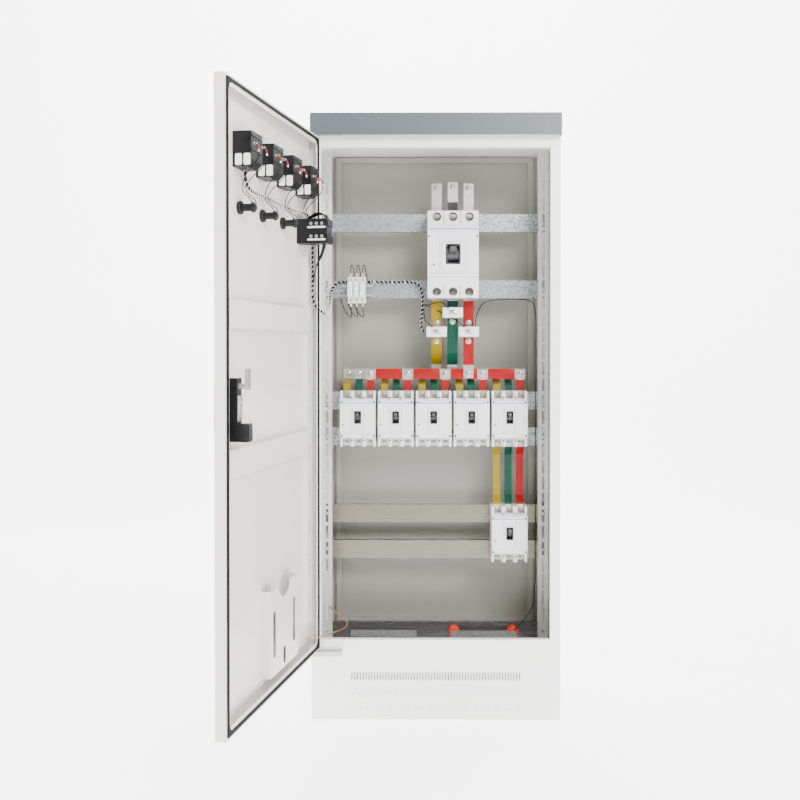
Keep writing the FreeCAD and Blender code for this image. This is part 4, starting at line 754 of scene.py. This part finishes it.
def make_meter_backs():
    """Terminal studs, white labels and black ridges behind each meter; the white insulated tips and red
    marker sleeves are drawn with the leads.
    """
    rear = SKIN_BACK + 44
    stud = turned([(3.4, 0), (3.6, 5.0), (2.0, 7.0), (2.0, 11.0)], 14)
    places = [(x + side * 26, rear, METER_Z + 12) for x in METER_X for side in (-1, 1)]
    add_piece("meter_studs", repeated(stud, places), "door", SCREW_ZINC, on_door=True)
    flat, rim = moulded(16, 26, 3.0, [(0.3, -0.3), (0, 0), (0, 0.2)])
    label = (flat[:, [1, 0, 2]] * (-1, 1, 1), rim)
    labels = [(x + 36.7, SKIN_BACK + depth, METER_Z - 24) for x in METER_X for depth in (14, 34)]
    add_piece("meter_labels", repeated(label, labels), "door", DIAL_WHITE, on_door=True)
    ridge = moulded(66, 4, 1.0, [(0, -1.0), (0, 0.8), (1.0, 1.4)])
    ridges = [(x, rear, METER_Z + level) for x in METER_X for level in (30, -2)]
    add_piece("meter_ridges", repeated(ridge, ridges), "door", BLACK_CASE, on_door=True)


def make_selector_back():
    """Stacked contact blocks with screw terminals on the sides of the selector switch."""
    layer = moulded(52.5, 19, 2.0, [(1.2, 0), (0, 0.8), (0, 15.0), (1.2, 16.0)])
    places = [(METER_X[0], SKIN_BACK + 13 + 19 * index, SELECTOR_Z + side * 21) for index in range(4)
              for side in (-1, 1)]
    add_piece("selector_layers", repeated(layer, places), "door", BLACK_CASE, on_door=True)
    points, faces = turned([(1.2, -2.2), (1.6, -3.0), (3.6, -2.6), (4.6, -1.2), (4.8, 0.6)], 16)
    sideways = (points[:, [1, 0, 2]] * (-1, 1, 1), faces)
    heads = [(METER_X[0] + 26, SKIN_BACK + 40 + 15 * step, SELECTOR_Z + level) for step in range(3)
             for level in (-14, 20)]
    add_piece("selector_screws", repeated(sideways, heads), "door", SCREW_ZINC, on_door=True)
    tall, wide = moulded(50, 5, 1.0, [(0.4, -1.2), (0, -0.8), (0, 0.5)])
    bridge = (tall[:, [1, 0, 2]] * (-1, 1, 1), wide)
    bridges = [(METER_X[0] + 26, SKIN_BACK + 55, SELECTOR_Z + level) for level in (-23, 10)]
    add_piece("selector_bridges", repeated(bridge, bridges), "door", WHITE_WRAP, on_door=True)


def make_lock_detail():
    """Zinc carrier plate and the upright bolt of the lock, seen from inside."""
    back = SKIN_BACK + 34
    plate = moulded(24, 56, 2.0, [(0.5, -0.5), (0, 0), (0, 1.8), (0.8, 2.4)])
    bolt = turned([(3.0, 0), (5.5, 0.6), (6.0, 2.4), (5.0, 5.0), (2.0, 6.0)], 20)
    shape = joined([repeated(plate, [(LOCK_X, back, LOCK_LOW + 76)]),
                    repeated(bolt, [(LOCK_X, back + 2, LOCK_LOW + level) for level in (60, 92)])])
    add_piece("lock_carrier", shape, "door", BRIGHT_ZINC, on_door=True)
    rim = moulded(24, 34, 3.0, [(0, -0.5), (0, 1.6), (1.0, 2.4)])
    add_piece("lock_box_rim", repeated(rim, [(LOCK_X, SKIN_BACK + 58, LOCK_LOW + 23)]), "door", BLACK_CASE,
              on_door=True)
    key = turned([(2.0, 2.0), (2.4, -0.8), (6.4, -1.2), (7.2, -0.4), (7.4, 1.0)], 24)
    add_piece("lock_cylinder", repeated(key, [(LOCK_X, DOOR_FACE - 6, LOCK_LOW + 18)]), "door", BRIGHT_ZINC,
              on_door=True)


# ---------------------------------------------------------------- leads
DOOR_RUN = [
    (190, -203, 1453.5), (190, -203, 1434), (165, -203, 1414), (110, -203, 1410), (40, -202, 1413),
    (-30, -203, 1408),
    (-100, -202, 1412), (-165, -203, 1407), (-225, -200, 1413), (-280, -196, 1409), (-300, -194.5, 1362),
    (-303, -194, 1300), (-300, -194, 1245), (-302, -194, 1195),
]
HINGE_DOOR_END = [(-302, -194, 1195), (-303.08, -194, 1168)]
HINGE_CABINET_END = [
    (-314, -214, 1145), (-307, -170, 1141), (-310, -110, 1149), (-313, -50, 1160), (-316, 5, 1178),
    (-316, 34, 1208),
]
CABINET_RUN = [
    (-316, 34, 1208), (-316, 45.6, 1220), (-303, 52, 1243), (-280, 56, 1248.5), (-240, 56.5, 1247),
    (-185, 56, 1248),
    (-130, 56.5, 1246), (-78, 55, 1248), (-48, 49, 1240), (-37, 40, 1208), (-38, 34, 1165), (-43, 28, 1112),
    (-37, 28, 1097), (-25.5, 28, 1097),
]
NEUTRAL_RUN = [
    (122, 40, 1110.5), (122, 40, 1138), (134, 52, 1166), (150, 56, 1190), (196, 58, 1194), (250, 58, 1196),
    (292, 57, 1193),
    (306, 55, 1168), (307, 55, 1100), (305.5, 55.5, 1040), (307, 55, 980), (305.5, 55, 920), (307, 55, 860),
    (305.5, 55.5, 800), (307, 55, 740), (305.5, 55, 680), (307, 55, 620), (305.5, 55.5, 560), (307, 55, 500),
    (305.5, 55, 440), (307, 55, 380), (304, 54, 322), (301, 48, 276), (284, 38, 238), (259, 29, 215),
    (243, 27.5, 203),
    (243, 27.5, 192),
]
BOND_DOOR_END = [(-296, -212.5, 246), (-296, -190, 246)]
BOND_CABINET_END = [
    (-318, -200, 240), (-292, -168, 240), (-264, -128, 240), (-254, -84, 242), (-266, -42, 247),
    (-292, -8, 253),
    (-310, 20, 257), (-318, 42, 260), (-318, 60, 260),
]


def loom(route):
    """Bundle of dark leads twisted together, with a white spiral wrap wound round the outside."""
    core = evenly(spline(route), 3.0)
    strands = [tube(helix(core, 2.0, 60.0, 2 * math.pi * index / 4), 1.55, 7) for index in range(4)]
    wrap = tube(helix(evenly(core, 1.2), 3.7, 13.0, 0.6), 1.0, 6)
    return joined(strands), wrap


def hinge_blend(piece):
    """Bakes the lead's placement into its mesh; its route already takes it over the hinge, from the side
    frame to the door's inner edge.
    """
    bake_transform(piece)


def make_looms():
    """The three bundles, the neutral lead and the bonding braid, each along its own route."""
    door_route = to_open_door(DOOR_RUN)
    hinge_route = np.concatenate([to_open_door(HINGE_DOOR_END), np.array(HINGE_CABINET_END, dtype=float)])
    for name, route, body in (("door_loom", door_route, "door"), ("cabinet_loom", CABINET_RUN, "cabinet"),
                              ("hinge_loom", hinge_route, None)):
        strands, wrap = loom(route)
        leads = add_piece(name + "_leads", strands, body, BLACK_LEAD)
        binding = add_piece(name + "_wrap", wrap, body, WHITE_WRAP)
        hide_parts(name)
        if name == "hinge_loom":
            hinge_blend(leads)
            hinge_blend(binding)
    neutral = add_piece("neutral_lead_wire", tube(evenly(spline(NEUTRAL_RUN), 5.0), 1.3, 10), "cabinet",
                        BLACK_LEAD)
    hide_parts("neutral_lead")
    bond_route = np.concatenate([to_open_door(BOND_DOOR_END), np.array(BOND_CABINET_END, dtype=float)])
    bond = add_piece("earth_bond_braid", tube(evenly(spline(bond_route), 3.0), 1.9, 12), None, BRAID)
    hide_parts("earth_bond_wire")
    hinge_blend(bond)


def make_device_leads():
    """Short leads from each meter and lamp down to the bundle, with white tips and red sleeves."""
    black = []
    red = []
    white = []
    rear = SKIN_BACK + 44
    for index, x in enumerate(METER_X):
        for side in (-1, 1):
            top = (x + side * 26, rear + 8, METER_Z + 12)
            out = (x + side * 27, rear + 17, METER_Z + 4)
            drop = (x + side * 24, rear + 10, METER_Z - 30)
            low = (x + side * 13, -196, 1432 + 4 * side)
            end = (x + side * 9, -200, 1411)
            line = evenly(spline([top, out, drop, low, end]), 2.5)
            black.append(tube(line, 1.15, 7))
            red.append(tube(line[2:7], 2.3, 10))
            white.append(tube(line[6:9], 2.0, 10))
        if index:
            for side in (-1, 1):
                start = (x + side * 8, SKIN_BACK + 37, LAMP_Z + 3)
                bulge = (x + side * 20, SKIN_BACK + 39, LAMP_Z + 14)
                rise = (x + side * 17, -195, LAMP_Z + 32)
                finish = (x + side * 12, -200, 1408)
                black.append(tube(evenly(spline([start, bulge, rise, finish]), 2.5), 1.1, 7))
    for step in range(6):
        x = METER_X[0] - 20 + 8 * step
        start = (x, SKIN_BACK + 79 - 8 * (step % 2), SELECTOR_Z + 32)
        bulge = (x - 6, SKIN_BACK + 72, SELECTOR_Z + 50)
        finish = (x - 22, -197, 1400 - 2 * step)
        black.append(tube(evenly(spline([start, bulge, (x - 16, -175, 1410), finish]), 2.5), 1.2, 7))
    for step in range(4):
        x = METER_X[0] - 12 + 8 * step
        black.append(tube(evenly(spline([(x, SKIN_BACK + 70, SELECTOR_Z - 32), (x - 4, SKIN_BACK + 64,
                                                                                SELECTOR_Z - 58),
                                         (-288, -182, 1268), (-302, -192, 1240 - 6 * step)]), 2.5), 1.2, 7))
    add_piece("device_leads", joined(black), "door", BLACK_LEAD, on_door=True)
    add_piece("device_lead_sleeves", joined(red), "door", RED_SLEEVE, on_door=True)
    add_piece("device_lead_tips", joined(white), "door", WHITE_WRAP, on_door=True)


def make_cabinet_leads():
    """Leads between the fuses, the bundle and the main breaker, and from the transformers to the bundle."""
    black = []
    white = []
    for index in (-1, 0, 1):
        x = -235.5 + 18 * index
        below = evenly(spline([(x, 26, 1183), (x, 24, 1166), (x + 2, 24, 1148), (x + 3, 32, 1139),
                               (x - 6, 50, 1142), (x - 22, 56, 1160),
                               (x - 34, 57, 1196)]), 3)
        above = evenly(spline([(x, 26, 1259), (x, 24, 1276), (x - 1, 26, 1292), (x + 2, 40, 1300),
                               (x + 7, 54, 1286), (x + 11, 57, 1254)]), 3)
        black += [tube(below, 1.3, 7), tube(above, 1.3, 7)]
        white += [tube(below[1:5], 2.2, 10), tube(above[1:5], 2.2, 10)]
    for pole in (-1, 0, 1):
        x = MAIN_X + pole * MAIN_POLE
        level = 1153.0 if pole == 0 else 1095.5
        black.append(tube(evenly(spline([(x - 12, -6, level + 12), (x - 24, -13, level + 24),
                                         (x - 38, 10, level + 36),
                                         (-34, 30, 1172 + 8 * pole)]), 3), 1.2, 7))
    add_piece("control_leads", joined(black), "cabinet", BLACK_LEAD)
    add_piece("control_lead_tips", joined(white), "cabinet", WHITE_WRAP)
    tie = turned([(5.4, -1.6), (6.2, -1.2), (6.2, 1.2), (5.4, 1.6)], 18)
    points, faces = tie
    upright_tie = (points[:, [1, 0, 2]], [face[::-1] for face in faces])
    ties = [(x, 55.2, 1247.5) for x in (-186.0, -130.0, -92.0)]
    add_piece("loom_ties", repeated(upright_tie, ties), "cabinet", WHITE_WRAP)


# ---------------------------------------------------------------- stage
def make_stage():
    """Pale floor that curves up into a pale wall: flat, then a quarter circle, then upright."""
    run = np.concatenate([np.linspace(-9.0, 2.6, 30), 2.6 + 1.4 * np.sin(np.linspace(0, math.pi / 2, 24)),
                          np.full(12, 4.0)])
    rise = np.concatenate([np.zeros(30), 1.4 - 1.4 * np.cos(np.linspace(0, math.pi / 2, 24)),
                           np.linspace(1.5, 7.0, 12)])
    across = np.linspace(8.0, -8.0, 12)
    points = np.stack(np.broadcast_arrays(across[None, :], run[:, None], rise[:, None] - 0.0005), -1)
    mesh = bpy.data.meshes.new("backdrop")
    mesh.from_pydata(points.reshape(-1, 3).tolist(), [], grid_faces(len(run), len(across), closed=False))
    mesh.polygons.foreach_set("use_smooth", [True] * len(mesh.polygons))
    backdrop, where, shader = new_material("backdrop_paper", Metallic=0.0, Roughness=0.9,
                                           Emission_Strength=2.8)
    paper = where.noise(1.2).colour(rgb(0.91, 0.91, 0.91), rgb(0.94, 0.94, 0.94))
    plug(paper, shader, "Base Color")
    plug(paper, shader, "Emission Color")
    mesh.materials.append(backdrop)
    floor = bpy.data.objects.new("backdrop", mesh)
    bpy.context.scene.collection.objects.link(floor)


def add_light(name, place, target, size, power):
    """Rectangular lamp that faces its target."""
    data = bpy.data.lights.new(name, "AREA")
    data.shape = "RECTANGLE"
    data.size, data.size_y = size
    data.energy = power
    light = bpy.data.objects.new(name, data)
    light.location = place
    light.rotation_euler = (Vector(target) - Vector(place)).to_track_quat("-Z", "Y").to_euler()
    bpy.context.scene.collection.objects.link(light)


def make_light_and_camera():
    """Soft studio light, a plain bright world and the viewing camera."""
    add_light("key", (1.5, -4.0, 3.0), (0.0, 0.0, 0.8), (1.6, 1.4), 260)
    add_light("fill", (-3.4, -3.0, 1.7), (0.0, 0.0, 0.8), (1.8, 2.2), 90)
    add_light("top", (0.3, -1.2, 4.4), (0.0, 0.2, 0.4), (2.6, 2.2), 150)
    add_light("wall", (0.0, 1.6, 4.6), (0.0, 3.6, 1.2), (6.0, 2.0), 500)
    world = bpy.data.worlds.new("studio")
    world.use_nodes = True
    world.node_tree.nodes["Background"].inputs["Color"].default_value = rgb(1.0, 1.0, 1.0)
    world.node_tree.nodes["Background"].inputs["Strength"].default_value = 0.7
    bpy.context.scene.world = world
    data = bpy.data.cameras.new("camera")
    data.sensor_width = 36.0
    data.lens = 45.94
    data.shift_x = -0.0241
    data.shift_y = -0.0526
    camera = bpy.data.objects.new("camera", data)
    camera.location = (-0.0267, -3.0503, 1.0498)
    camera.rotation_euler = (math.radians(90 - 0.61), 0.0, math.radians(0.39))
    bpy.context.scene.collection.objects.link(camera)
    bpy.context.scene.camera = camera


make_light_and_camera()
make_stage()
finish_nodes()
make_screws()
make_standoffs()
make_breaker_detail()
make_bar_sleeves()
make_transformer_clamps()
make_fuse_detail()
make_meter_fronts()
make_lamp_fronts()
make_lamp_backs()
make_meter_backs()
make_selector_back()
make_lock_detail()
make_looms()
make_device_leads()
make_cabinet_leads()
